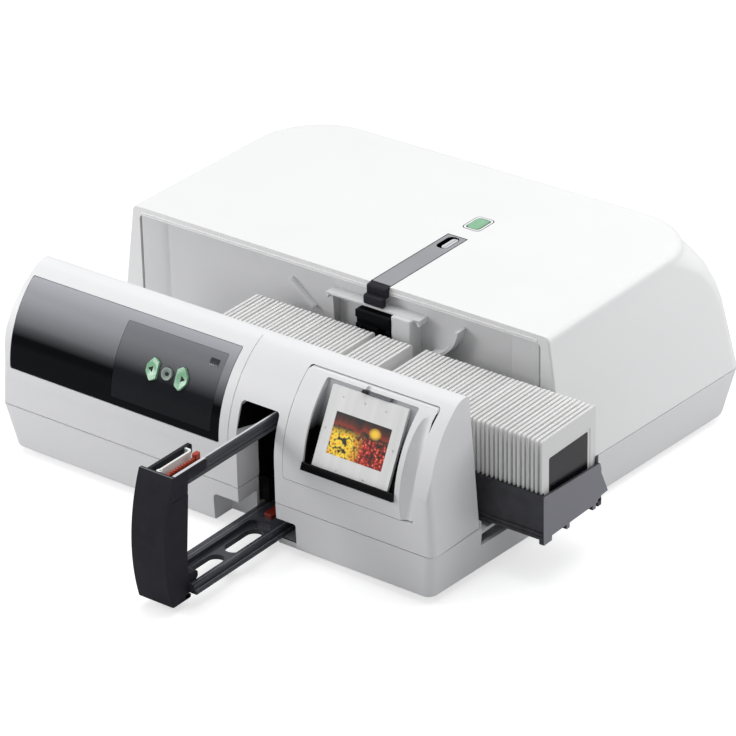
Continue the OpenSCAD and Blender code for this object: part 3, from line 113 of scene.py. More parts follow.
@dataclass(frozen=True)
class Bench:
    """A place to make pieces, with sizes in millimetres from its own origin."""

    origin: Vector

    def at(self, x: float, y: float, z: float) -> Vector:
        """Give the place of a point in metres of the shared frame."""
        return (Vector((x, y, z)) + self.origin) * MM

    def clear(self) -> None:
        """Leave edit mode and select nothing."""
        active = bpy.context.view_layer.objects.active
        if active is not None and active.mode != "OBJECT":
            bpy.ops.object.mode_set(mode="OBJECT")
        bpy.ops.object.select_all(action="DESELECT")

    def take(self, *pieces: Piece) -> Piece:
        """Select some pieces, the first of them active.

        Args:
            pieces: The pieces to select.

        Returns:
            The active piece.
        """
        self.clear()
        for piece in pieces:
            piece.select_set(True)
        bpy.context.view_layer.objects.active = pieces[0]
        return pieces[0]

    def set_down(self, name: str) -> Piece:
        """Name the primitive just added and put its place into its mesh.

        Args:
            name: The piece's name.

        Returns:
            The piece.
        """
        piece = bpy.context.object
        piece.name = name
        piece.data.name = name
        bpy.ops.object.transform_apply(location=True, rotation=True, scale=True)
        return piece

    def block(self, low: Point, high: Point, name: str = "tool") -> Piece:
        """Add a block between two corners.

        Args:
            low: Its lowest corner.
            high: Its highest corner.
            name: The piece's name.

        Returns:
            The block.
        """
        self.clear()
        middle = [(a + b) / 2 for a, b in zip(low, high)]
        bpy.ops.mesh.primitive_cube_add(size=MM, location=self.at(*middle))
        bpy.context.object.scale = [b - a for a, b in zip(low, high)]
        return self.set_down(name)

    def rod(self, axis: Axis, centre: Point, length: float, radius: float, sides: int = 48,
            far_radius: float | None = None, name: str = "tool") -> Piece:
        """Add a rod, or a cone where the far radius differs.

        Args:
            axis: The direction that the rod runs in.
            centre: The middle of its near end.
            length: How far it runs.
            radius: Its radius at the near end.
            sides: How many flats it has.
            far_radius: Its radius at the far end.
            name: The piece's name.

        Returns:
            The rod.
        """
        self.clear()
        middle = list(centre)
        middle[axis.value] += length / 2
        turn = {Axis.X: (0, math.pi / 2, 0), Axis.Y: (-math.pi / 2, 0, 0), Axis.Z: (0, 0, 0)}[axis]
        far = radius if far_radius is None else far_radius
        bpy.ops.mesh.primitive_cone_add(vertices=sides, radius1=radius * MM, radius2=far * MM,
            depth=length * MM, location=self.at(*middle), rotation=turn)
        return self.set_down(name)

    def ball(self, centre: Point, radius: float) -> Piece:
        """Add a ball.

        Args:
            centre: Its centre.
            radius: Its radius.

        Returns:
            The ball.
        """
        self.clear()
        bpy.ops.mesh.primitive_uv_sphere_add(segments=32, ring_count=16, radius=radius * MM,
            location=self.at(*centre))
        return self.set_down("ball")

    def pick(self, piece: Piece, kind: Kind, test: Test) -> int:
        """Enter edit mode with the parts of a piece that pass a test selected.

        Args:
            piece: The piece to work on.
            kind: Whether vertices, edges or faces are tested.
            test: Is given a part's place in millimetres and its direction, an edge's run or a normal.

        Returns:
            How many parts were selected.
        """
        self.take(piece)
        bpy.ops.object.mode_set(mode="EDIT")
        bpy.ops.mesh.select_mode(type=kind.value)
        bpy.ops.mesh.select_all(action="DESELECT")
        mesh = bmesh.from_edit_mesh(piece.data)
        count = 0
        if kind is Kind.VERTS:
            parts = [(v, v.co, v.normal) for v in mesh.verts]
        elif kind is Kind.EDGES:
            parts = [(e, (e.verts[0].co + e.verts[1].co) / 2,
                (e.verts[1].co - e.verts[0].co).normalized()) for e in mesh.edges]
        else:
            parts = [(f, f.calc_center_median(), f.normal) for f in mesh.faces]
        for part, place, heading in parts:
            if test(place / MM - self.origin, heading):
                part.select_set(True)
                count += 1
        mesh.select_flush_mode()
        bmesh.update_edit_mesh(piece.data)
        return count

    def leave(self) -> None:
        """Go back to object mode."""
        bpy.ops.object.mode_set(mode="OBJECT")

    def round_edges(self, piece: Piece, test: Test, radius: float, steps: int = 6) -> Piece:
        """Round the edges that pass a test.

        Args:
            piece: The piece to work on.
            test: Is given an edge's middle and its run.
            radius: The radius of the rounding.
            steps: How many segments it has.

        Returns:
            The piece.
        """
        if self.pick(piece, Kind.EDGES, test):
            bpy.ops.mesh.bevel(offset=radius * MM, offset_type="OFFSET", segments=steps, profile=0.5,
                affect="EDGES")
        self.leave()
        return piece

    def pad(self, low: Point, high: Point, radius: float, axis: Axis = Axis.Z, steps: int = 8,
            name: str = "tool") -> Piece:
        """Add a block whose four edges along one axis are rounded.

        Args:
            low: Its lowest corner.
            high: Its highest corner.
            radius: The radius of the rounded edges.
            axis: The direction of those edges.
            steps: How many segments each has.
            name: The piece's name.

        Returns:
            The rounded block.
        """
        return self.round_edges(self.block(low, high, name), along(axis), radius, steps)

    def shift(self, piece: Piece, where: PlaceTest, by: Point) -> Piece:
        """Move the vertices of a piece that pass a test of their place.

        Args:
            piece: The piece to work on.
            where: Says which.
            by: How far, in millimetres.

        Returns:
            The piece.
        """
        if self.pick(piece, Kind.VERTS, lambda p, normal: where(p)):
            bpy.ops.transform.translate(value=[v * MM for v in by])
        self.leave()
        return piece

    def apply(self, piece: Piece, kind: str, **values: object) -> Piece:
        """Add a modifier with its values and apply it.

        Args:
            piece: The piece to work on.
            kind: The modifier's type.
            values: Its settings.

        Returns:
            The piece.
        """
        self.take(piece)
        modifier = piece.modifiers.new(kind.lower(), kind)
        for key, value in values.items():
            setattr(modifier, key, value)
        bpy.ops.object.modifier_apply(modifier=modifier.name)
        return piece

    def combine(self, piece: Piece, tools: Sequence[Piece], how: str) -> Piece:
        """Cut, fuse or trim a piece with others, which are used up.

        Args:
            piece: The piece to work on.
            tools: The others.
            how: The modifier's name for what is done.

        Returns:
            The piece.
        """
        for tool in tools:
            self.apply(piece, "BOOLEAN", operation=how, object=tool, solver="EXACT")
            bpy.data.meshes.remove(tool.data)
        return piece

    def carve(self, piece: Piece, *tools: Piece) -> Piece:
        """Cut other pieces out of a piece."""
        return self.combine(piece, tools, "DIFFERENCE")

    def cut(self, piece: Piece, *rooms: tuple[Point, Point]) -> Piece:
        """Cut blocks out of a piece, each given by its lowest and highest corner."""
        return self.carve(piece, *[self.block(*room) for room in rooms])

    def fuse(self, piece: Piece, *tools: Piece) -> Piece:
        """Grow other pieces onto a piece."""
        return self.combine(piece, tools, "UNION")

    def trim(self, piece: Piece, *tools: Piece) -> Piece:
        """Keep only what a piece shares with others."""
        return self.combine(piece, tools, "INTERSECT")

    def join(self, piece: Piece, *others: Piece) -> Piece:
        """Take other pieces into a piece's mesh, as they are.

        Args:
            piece: The piece that grows.
            others: The pieces that it takes in.

        Returns:
            The piece.
        """
        if others:
            self.take(piece, *others)
            bpy.ops.object.join()
        return piece

    def copy(self, piece: Piece, by: Point) -> Piece:
        """Copy a piece with its own mesh and set the copy down elsewhere.

        Args:
            piece: The piece to copy.
            by: How far the copy stands from it, in millimetres.

        Returns:
            The copy.
        """
        self.take(piece)
        bpy.ops.object.duplicate(linked=False)
        twin = bpy.context.object
        bpy.ops.transform.translate(value=[v * MM for v in by])
        bpy.ops.object.transform_apply(location=True, rotation=True, scale=True)
        return twin

    def row(self, piece: Piece, count: int, step: Point) -> Piece:
        """Repeat a piece in a row at an even step.

        Args:
            piece: The piece to repeat.
            count: How many there are in all.
            step: From one to the next, in millimetres.

        Returns:
            The row as one piece.
        """
        return self.apply(piece, "ARRAY", count=count, use_relative_offset=False,
            use_constant_offset=True, constant_offset_displace=[v * MM for v in step])

    def turn(self, piece: Piece, axis: Axis, degrees: float, centre: Point) -> Piece:
        """Turn a piece about a point, counter-clockwise seen from the axis's far end.

        Args:
            piece: The piece to turn.
            axis: The axis that it turns about.
            degrees: How far.
            centre: A point on the axis, in millimetres.

        Returns:
            The piece.
        """
        self.take(piece)
        point = self.at(*centre)
        spin = Matrix.Rotation(math.radians(degrees), 4, axis.name)
        piece.matrix_world = Matrix.Translation(point) @ spin @ Matrix.Translation(
            -point) @ piece.matrix_world
        bpy.ops.object.transform_apply(location=True, rotation=True, scale=True)
        return piece

    def outward(self, piece: Piece) -> Piece:
        """Merge doubles and point every face outwards.

        Args:
            piece: The piece to mend.

        Returns:
            The piece.
        """
        self.pick(piece, Kind.VERTS, everywhere)
        bpy.ops.mesh.remove_doubles(threshold=DOUBLES)
        bpy.ops.mesh.normals_make_consistent(inside=False)
        self.leave()
        return piece

    def soften(self, piece: Piece, width: float, steps: int = 2, angle: float = 38.0) -> Piece:
        """Break a piece's sharp edges and shade it smoothly between them.

        Args:
            piece: The piece to finish.
            width: How wide the broken edges are; nothing is broken at zero.
            steps: Segments of each broken edge.
            angle: The least angle that counts as sharp, in degrees.

        Returns:
            The piece.
        """
        if width > 0:
            self.apply(piece, "BEVEL", width=width * MM, segments=steps, limit_method="ANGLE",
                angle_limit=math.radians(angle), use_clamp_overlap=True, harden_normals=False)
        self.take(piece)
        bpy.ops.object.shade_smooth_by_angle(angle=math.radians(SMOOTH_ANGLE))
        return self.apply(piece, "WEIGHTED_NORMAL", keep_sharp=True, weight=60)

    def settle(self, piece: Piece, place: Point, lean: float) -> Piece:
        """Set a piece made about zero onto a face that leans back.

        Args:
            piece: The piece, its outward side up.
            place: Where its zero goes, in millimetres of the case.
            lean: How far the face leans back from upright, in degrees.

        Returns:
            The piece.
        """
        self.take(piece)
        piece.rotation_euler = (math.radians(90 - lean), 0, 0)
        piece.location = CASE.at(*place)
        bpy.ops.object.transform_apply(location=True, rotation=True, scale=True)
        return piece


CASE = Bench(CASE_ORIGIN)
LOOSE = Bench(Vector((0.0, 0.0, 0.0)))


# ---------------------------------------------------------------- finishes


def shade(hex_colour: str) -> tuple[float, float, float, float]:
    """Turn a written colour into the linear one that a shader takes."""
    parts = [int(hex_colour[i:i + 2], 16) / 255 for i in (1, 3, 5)]
    return (*[c / 12.92 if c <= 0.04045 else ((c + 0.055) / 1.055) ** 2.4 for c in parts], 1.0)


def blank(name: str) -> tuple[bpy.types.Material, Tree, bpy.types.Node]:
    """Start a material.

    Args:
        name: The material's name.

    Returns:
        The material, its node tree and its shader.
    """
    material = bpy.data.materials.new(name)
    material.use_nodes = True
    tree = material.node_tree
    return material, tree, next(n for n in tree.nodes if n.type == "BSDF_PRINCIPLED")


class GroupMaker:
    """Builds a shader node group once, with named inputs and outputs."""

    def __init__(self, name: str, inputs: dict[str, tuple[str, object]],
            outputs: dict[str, str]) -> None:
        """Make the group's sockets.

        Args:
            name: The group's name.
            inputs: Each input's kind and default.
            outputs: Each output's kind.
        """
        self.tree = bpy.data.node_groups.new(name, "ShaderNodeTree")
        for label, (kind, default) in inputs.items():
            socket = self.tree.interface.new_socket(label, in_out="INPUT",
                socket_type=f"NodeSocket{kind}")
            if default is not None:
                socket.default_value = default
        for label, kind in outputs.items():
            self.tree.interface.new_socket(label, in_out="OUTPUT", socket_type=f"NodeSocket{kind}")
        self.given = self.tree.nodes.new("NodeGroupInput")
        self.result = self.tree.nodes.new("NodeGroupOutput")

    def node(self, kind: str, values: dict[str, object] | None = None,
            **settings: object) -> bpy.types.Node:
        """Add a node to the group.

        Args:
            kind: The node's type, without its prefix.
            values: Its inputs, each a value or a socket to link.
            settings: Its own properties.

        Returns:
            The node.
        """
        return add_node(self.tree, kind, values, **settings)

    def give(self, **links: Socket) -> None:
        """Link sockets to the group's outputs, with spaces for underscores."""
        for label, socket in links.items():
            self.tree.links.new(socket, self.result.inputs[label.replace("_", " ")])


def add_node(tree: Tree, kind: str, values: dict[object, object] | None = None,
        **settings: object) -> bpy.types.Node:
    """Add a node to a tree, then set or link its inputs.

    Args:
        tree: The tree.
        kind: The node's type, without its prefix.
        values: Its inputs, each a value or a socket to link.
        settings: Its own properties.

    Returns:
        The node.
    """
    node = tree.nodes.new(f"ShaderNode{kind}")
    for key, value in settings.items():
        setattr(node, key, value)
    for key, value in (values or {}).items():
        if isinstance(value, Socket):
            tree.links.new(value, node.inputs[key])
        else:
            node.inputs[key].default_value = value
    return node


class Effects:
    """The effects that several finishes share, each built once as a node group."""

    def __init__(self) -> None:
        """Build the groups."""
        self.grain = self.build_grain()
        self.wear = self.build_wear()
        self.dust = self.build_dust()

    def build_grain(self) -> Tree:
        """Build the grain of moulded plastic: a slight drift of colour and gloss, and a fine relief."""
        maker = GroupMaker("moulded_grain",
            {"Place": ("Vector", None), "Colour": ("Color", (0.8, 0.8, 0.8, 1)),
            "Grain Size": ("Float", 900.0), "Drift": ("Float", 0.04), "Gloss": ("Float", 0.4),
            "Gloss Drift": ("Float", 0.1)}, {"Colour": "Color", "Roughness": "Float",
            "Height": "Float"})
        given = maker.given.outputs
        fine = maker.node("TexNoise", {"Vector": given["Place"], "Scale": given["Grain Size"],
            "Detail": 3.0, "Roughness": 0.6})
        broad = maker.node("TexNoise", {"Vector": given["Place"], "Scale": 22.0, "Detail": 4.0,
            "Roughness": 0.55})
        mixed = maker.node("Math", {0: fine.outputs["Fac"], 1: 0.45, 2: broad.outputs["Fac"]},
            operation="MULTIPLY_ADD")
        swing = maker.node("MapRange", {"Value": mixed.outputs[0], "From Min": 0.45, "From Max": 1.0,
            "To Min": -1.0, "To Max": 1.0})
        value = maker.node("Math", {0: swing.outputs["Result"], 1: given["Drift"], 2: 1.0},
            operation="MULTIPLY_ADD")
        tint = maker.node("HueSaturation", {"Color": given["Colour"], "Value": value.outputs[0]})
        gloss = maker.node("Math", {0: swing.outputs["Result"], 1: given["Gloss Drift"],
            2: given["Gloss"]}, operation="MULTIPLY_ADD", use_clamp=True)
        maker.give(Colour=tint.outputs["Color"], Roughness=gloss.outputs[0], Height=fine.outputs["Fac"])
        return maker.tree

    def build_wear(self) -> Tree:
        """Build the wear of handled edges, from how sharply the surface turns."""
        maker = GroupMaker("edge_wear",
            {"Place": ("Vector", None), "Colour": ("Color", (0.1, 0.1, 0.1, 1)),
            "Worn Colour": ("Color", (0.4, 0.4, 0.4, 1)), "Amount": ("Float", 0.4)},
            {"Colour": "Color", "Mask": "Float"})
        given = maker.given.outputs
        shape = maker.node("NewGeometry")
        edge = maker.node("MapRange", {"Value": shape.outputs["Pointiness"], "From Min": 0.505,
            "From Max": 0.56})
        patchy = maker.node("TexNoise", {"Vector": given["Place"], "Scale": 160.0, "Detail": 4.0})
        rub = maker.node("Math", {0: edge.outputs["Result"], 1: patchy.outputs["Fac"]},
            operation="MULTIPLY")
        mask = maker.node("Math", {0: rub.outputs[0], 1: given["Amount"]}, operation="MULTIPLY",
            use_clamp=True)
        mix = maker.node("MixRGB", {"Fac": mask.outputs[0], "Color1": given["Colour"],
            "Color2": given["Worn Colour"]})
        maker.give(Colour=mix.outputs["Color"], Mask=mask.outputs[0])
        return maker.tree

    def build_dust(self) -> Tree:
        """Build the thin dust that settles on faces that look up."""
        maker = GroupMaker("settled_dust",
            {"Place": ("Vector", None), "Colour": ("Color", (0.1, 0.1, 0.1, 1)),
            "Roughness": ("Float", 0.3), "Amount": ("Float", 0.1)},
            {"Colour": "Color", "Roughness": "Float"})
        given = maker.given.outputs
        shape = maker.node("NewGeometry")
        normal = maker.node("SeparateXYZ", {"Vector": shape.outputs["Normal"]})
        up = maker.node("MapRange", {"Value": normal.outputs["Z"], "From Min": 0.5, "From Max": 1.0})
        specks = maker.node("TexNoise", {"Vector": given["Place"], "Scale": 700.0, "Detail": 6.0,
            "Roughness": 0.7})
        spread = maker.node("MapRange", {"Value": specks.outputs["Fac"], "From Min": 0.42,
            "From Max": 0.7})
        lying = maker.node("Math", {0: up.outputs["Result"], 1: spread.outputs["Result"]},
            operation="MULTIPLY")
        mask = maker.node("Math", {0: lying.outputs[0], 1: given["Amount"]}, operation="MULTIPLY",
            use_clamp=True)
        mix = maker.node("MixRGB", {"Fac": mask.outputs[0], "Color1": given["Colour"],
            "Color2": shade("#b9b6ae")})
        rough = maker.node("Math", {0: mask.outputs[0], 1: 0.5, 2: given["Roughness"]},
            operation="MULTIPLY_ADD", use_clamp=True)
        maker.give(Colour=mix.outputs["Color"], Roughness=rough.outputs[0])
        return maker.tree


@dataclass(frozen=True)
class Plastic:
    """A moulded plastic, with its grain, the wear of its edges, its dust and in some a painted
    reflection.
    """

    name: str
    colour: str
    gloss: float = 0.42
    gloss_drift: float = 0.06
    drift: float = 0.02
    grain: float = 1400.0
    relief: float = 0.12
    depth_mm: float = 0.03
    worn: str = "#ffffff"
    wear: float = 0.0
    dust: float = 0.0
    coat: float = 0.0
    coat_gloss: float = 0.04
    specular: float = 0.5
    metal: float = 0.0
    painted_glow: float = 0.0
    lines: Axis | None = None
    streak: float = 0.03
    # A painted reflection: the lighter colour and the two heights, in millimetres, between which it is
    # reached.
    painted_reflection: tuple[str, float, float] | None = None

    def place(self, tree: Tree) -> Socket:
        """Give the coordinates of the pattern, drawn out along one axis where the finish is brushed.

        Args:
            tree: The material's node tree.

        Returns:
            The socket of the coordinates.
        """
        source = add_node(tree, "TexCoord").outputs["Object"]
        if self.lines is None:
            return source
        stretch = [1.0, 1.0, 1.0]
        stretch[self.lines.value] = self.streak
        return add_node(tree, "Mapping", {"Vector": source, "Scale": stretch}).outputs["Vector"]

    def build(self, effects: Effects) -> bpy.types.Material:
        """Build the material.

        Args:
            effects: The shared node groups.

        Returns:
            The material.
        """
        material, tree, shader = blank(self.name)
        place = self.place(tree)
        grain = add_node(tree, "Group", {"Place": place, "Colour": shade(self.colour),
            "Grain Size": self.grain, "Drift": self.drift, "Gloss": self.gloss,
            "Gloss Drift": self.gloss_drift}, node_tree=effects.grain)
        colour, rough = grain.outputs["Colour"], grain.outputs["Roughness"]
        # Painted reflection: between two heights the colour turns to a lighter one, standing in for the
        # light a glossy face mirrors near its top.
        if self.painted_reflection is not None:
            height = add_node(tree, "SeparateXYZ", {"Vector": place}).outputs["Z"]
            reach = add_node(tree, "MapRange", {"Value": height, "From Min": self.painted_reflection[1] * MM,
                "From Max": self.painted_reflection[2] * MM})
            colour = add_node(tree, "MixRGB", {"Fac": reach.outputs["Result"], "Color1": colour,
                "Color2": shade(self.painted_reflection[0])}).outputs["Color"]
        if self.wear > 0:
            wear = add_node(tree, "Group", {"Place": place, "Colour": colour,
                "Worn Colour": shade(self.worn), "Amount": self.wear}, node_tree=effects.wear)
            colour = wear.outputs["Colour"]
        if self.dust > 0:
            dust = add_node(tree, "Group", {"Place": place, "Colour": colour, "Roughness": rough,
                "Amount": self.dust}, node_tree=effects.dust)
            colour, rough = dust.outputs["Colour"], dust.outputs["Roughness"]
        bump = add_node(tree, "Bump", {"Strength": self.relief, "Distance": self.depth_mm * MM,
            "Height": grain.outputs["Height"]})
        tree.links.new(colour, shader.inputs["Base Color"])
        tree.links.new(rough, shader.inputs["Roughness"])
        tree.links.new(bump.outputs["Normal"], shader.inputs["Normal"])
        shader.inputs["Metallic"].default_value = self.metal
        shader.inputs["Specular IOR Level"].default_value = self.specular
        shader.inputs["Coat Weight"].default_value = self.coat
        shader.inputs["Coat Roughness"].default_value = self.coat_gloss
        # Painted glow: the colour is also given off as light, though the part is no lamp.
        if self.painted_glow > 0:
            tree.links.new(colour, shader.inputs["Emission Color"])
            shader.inputs["Emission Strength"].default_value = self.painted_glow
        return material


@dataclass(frozen=True)
class Picture:
    """The slide in the viewer: hills at dusk over a field of flowers, a generic design."""

    name: str = "viewer_picture"
    middle: Point = (96.75, 11.85, 79.0)
    lean: float = 27.2
    width: float = 36.0
    height: float = 24.0

    def build(self) -> bpy.types.Material:
        """Build the picture from waves, noise and cells on a plane that leans with the viewer.

        Returns:
            The material.
        """
        material, tree, shader = blank(self.name)
        source = add_node(tree, "TexCoord").outputs["Object"]
        centre = CASE.at(*self.middle)
        moved = add_node(tree, "VectorMath", {0: source, 1: tuple(-centre)}, operation="ADD").outputs[0]
        flat = add_node(tree, "Mapping",
            {"Vector": moved, "Rotation": (math.radians(self.lean - 90), 0, 0)})
        grown = add_node(tree, "VectorMath", {0: flat.outputs["Vector"], 3: 1 / MM},
            operation="SCALE").outputs[0]
        parts = add_node(tree, "SeparateXYZ", {"Vector": grown})
        across, up = parts.outputs["X"], parts.outputs["Y"]
        ridge = add_node(tree, "TexNoise", {"W": across, "Scale": 0.16, "Detail": 3.0},
            noise_dimensions="1D")
        skyline = self.blend(tree, "MULTIPLY_ADD", ridge.outputs["Fac"], 9.0, -1.0)
        over = self.blend(tree, "SUBTRACT", up, skyline)
        sky = self.ramp(tree, over, 0.0, 9.0, ["#8c2a12", "#4a1a10", "#1a120e", "#0a0b0c"])
        patch = add_node(tree, "TexNoise", {"Vector": grown, "Scale": 0.35, "Detail": 5.0,
            "Roughness": 0.65})
        hills = self.ramp(tree, patch.outputs["Fac"], 0.35, 0.7,
            ["#0b0d08", "#16200c", "#33200d", "#5d2c12"])
        cells = add_node(tree, "TexVoronoi", {"Vector": grown, "Scale": 0.34, "Randomness": 1.0})
        bloom = self.ramp(tree, cells.outputs["Distance"], 0.0, 0.75, ["#7a3208", "#e8a41c", "#f6d53a",
            "#2a1c08"])
        petal = add_node(tree, "TexVoronoi", {"Vector": grown, "Scale": 0.62, "Randomness": 1.0})
        rose = self.ramp(tree, petal.outputs["Distance"], 0.0, 0.8, ["#e9b890", "#c9402a", "#8e1c16",
            "#1c0c08"])
        low = self.mask(tree, up, 3.0, -1.0)
        side = self.mask(tree, across, -5.0, 3.0)
        field_colour = self.mix(tree, side, bloom, rose)
        land = self.mix(tree, self.mask(tree, over, 0.6, -0.6), sky, hills)
        near = self.blend(tree, "MULTIPLY", low, self.mask(tree, patch.outputs["Fac"], 0.36, 0.46))
        colour = self.mix(tree, near, land, field_colour)
        glow_x = self.blend(tree, "MULTIPLY", self.blend(tree, "ADD", across, -8.5), 0.16)
        glow_y = self.blend(tree, "MULTIPLY", self.blend(tree, "ADD", up, -5.0), 0.2)
        ring = self.blend(tree, "ADD", self.blend(tree, "MULTIPLY", glow_x, glow_x),
            self.blend(tree, "MULTIPLY", glow_y, glow_y))
        sun = self.mask(tree, ring, 0.45, 0.05)
        colour = self.mix(tree, self.blend(tree, "MULTIPLY", sun, 0.9), colour, shade("#f3c63c"))
        tree.links.new(colour, shader.inputs["Base Color"])
        # The picture's emission is painted glow, standing in for the viewer lamp shining through the
        # film.
        tree.links.new(colour, shader.inputs["Emission Color"])
        shader.inputs["Emission Strength"].default_value = 0.35
        shader.inputs["Roughness"].default_value = 0.3
        return material

    @staticmethod
    def blend(tree: Tree, how: str, *values: object) -> Socket:
        """Add a math node and give its result."""
        return add_node(tree, "Math", dict(enumerate(values)), operation=how).outputs[0]

    @staticmethod
    def mask(tree: Tree, value: Socket, low: float, high: float) -> Socket:
        """Give a mask that rises from zero at one value to one at the other."""
        return add_node(tree, "MapRange", {"Value": value, "From Min": low, "From Max": high}).outputs[
            "Result"]

    @staticmethod
    def mix(tree: Tree, fac: object, first: object, second: object) -> Socket:
        """Mix two colours by a mask."""
        return add_node(tree, "MixRGB", {"Fac": fac, "Color1": first, "Color2": second}).outputs[
            "Color"]

    @staticmethod
    def ramp(tree: Tree, value: Socket, low: float, high: float, colours: Sequence[str]) -> Socket:
        """Give a colour ramp over a value's range.

        Args:
            tree: The node tree.
            value: The socket that is mapped.
            low: The value that gets the first colour.
            high: The value that gets the last one.
            colours: The colours, evenly spaced.

        Returns:
            The socket of the colour.
        """
        scaled = Picture.mask(tree, value, low, high)
        node = add_node(tree, "ValToRGB", {"Fac": scaled})
        steps = node.color_ramp.elements
        while len(steps) < len(colours):
            steps.new(0.5)
        for i, colour in enumerate(colours):
            steps[i].position = i / (len(colours) - 1)
        for i, colour in enumerate(colours):
            steps[i].color = shade(colour)
        return node.outputs["Color"]


FINISHES = (Plastic("shell_grey", "#ececed", gloss=0.42, drift=0.008, grain=2200, relief=0.06,
    worn="#f7f7f7"), Plastic("shell_light", "#f3f3f3", gloss=0.36, drift=0.006, grain=2200,
    relief=0.05), Plastic("wall_grey", "#dededf", gloss=0.5, drift=0.015, grain=1500, relief=0.12),
    Plastic("gloss_black", "#0b0c0f", gloss=0.16, gloss_drift=0.02, drift=0.05, grain=500, relief=0.01,
    dust=0.01, specular=0.06), Plastic("bed_black", "#09090b", gloss=0.2, gloss_drift=0.02, drift=0.05,
    grain=500, relief=0.01, specular=0.15, painted_reflection=("#c4c5c8", 78.0, 101.0)),
    Plastic("fascia_black", "#0a0b0e", gloss=0.16, gloss_drift=0.02, drift=0.04, grain=500, relief=0.01,
    dust=0.01, specular=0.06, painted_reflection=("#b4b5bb", 74.0, 103.5)),
    Plastic("plate_black", "#1d1e22", gloss=0.24, gloss_drift=0.03, drift=0.05, grain=900, relief=0.03,
    dust=0.01, specular=0.08, painted_reflection=("#85868b", 76.0, 99.0)),
    Plastic("matt_black", "#1f1e25", gloss=0.46, gloss_drift=0.06, drift=0.08, grain=1500, relief=0.16,
    worn="#4a4a54", wear=0.2, dust=0.02, specular=0.14), Plastic("tray_grey", "#2e2e34", gloss=0.36,
    drift=0.07, grain=1400, relief=0.18, worn="#77777d", wear=0.3, dust=0.03, specular=0.3),
    Plastic("rail_grey", "#36373e", gloss=0.2, drift=0.03, grain=1300, relief=0.03, worn="#8a8a92",
    wear=0.08, specular=0.5), Plastic("smoked_lens", "#20262a", gloss=0.12, gloss_drift=0.02,
    drift=0.05, grain=700, relief=0.02, coat=0.5), Plastic("key_green", "#86bb95", gloss=0.24,
    # The green keys' faint glow is painted glow.
    drift=0.03, grain=1100, relief=0.05, worn="#d2ebd8", wear=0.3, coat=0.3, painted_glow=0.03),
    Plastic("key_dark", "#17321f", gloss=0.2, drift=0.04, grain=900, relief=0.02, coat=0.3),
    Plastic("key_grey", "#8d9a93", gloss=0.3, drift=0.05, grain=1100, relief=0.05, worn="#9aa79f",
    wear=0.4), Plastic("board", "#1c5a34", gloss=0.4, drift=0.12, grain=420, relief=0.2),
    # The diffuser's glow is painted: on the viewer's diffuser it stands in for the lamp behind it, and
    # the data port tongues that share it glow with no lamp behind them.
    Plastic("diffuser", "#f1f1ea", gloss=0.5, drift=0.02, grain=900, relief=0.08, painted_glow=0.1),
    Plastic("film", "#17151a", gloss=0.2, gloss_drift=0.04, drift=0.2, grain=260, relief=0.03),
    Plastic("rim_white", "#d4d5d8", gloss=0.3, drift=0.02, grain=1100, relief=0.03),
    Plastic("rim_grey", "#74757c", gloss=0.3, drift=0.03, grain=1100, relief=0.03),
    Plastic("tray_end_grey", "#85858c", gloss=0.4, drift=0.04, grain=1400, relief=0.12, specular=0.3),
    Plastic("slider_grey", "#9c9da1", gloss=0.42, drift=0.1, grain=1800, relief=0.25),
    Plastic("signal_red", "#a3301c", gloss=0.34, drift=0.06, grain=1100, relief=0.08, worn="#d86a4a",
    wear=0.4), Plastic("stop_red", "#6e170c", gloss=0.4, drift=0.06, grain=1100, relief=0.08,
    # This black serves the arm's guide and also thin sheets of painted shade in gaps and recesses.
    worn="#b04a30", wear=0.3), Plastic("guide_black", "#0a0a0c", gloss=0.5, drift=0.08, grain=1500,
    relief=0.1, specular=0.08), Plastic("leaf_white", "#eef1ee", gloss=0.3, drift=0.02, grain=1100,
    relief=0.05), Plastic("gear_cream", "#dcd6c2", gloss=0.42, drift=0.05, grain=900, relief=0.1,
    worn="#f1ecdd", wear=0.2), Plastic("steel", "#a3a6aa", gloss=0.3, gloss_drift=0.1, drift=0.06,
    grain=700, relief=0.08, metal=1.0, lines=Axis.Y), Plastic("lens_barrel", "#1e1f24", gloss=0.25,
    drift=0.08, grain=800, relief=0.08, worn="#55565c", wear=0.4),
    Plastic("lamp_metal", "#b4b5b2", gloss=0.36, drift=0.06, grain=700, relief=0.1, metal=0.8),
    Plastic("foot_rubber", "#6a6a6c", gloss=0.75, drift=0.1, grain=900, relief=0.35, dust=0.2),
    Plastic("panel_grey", "#b9babc", gloss=0.5, drift=0.02, grain=1500, relief=0.15),)


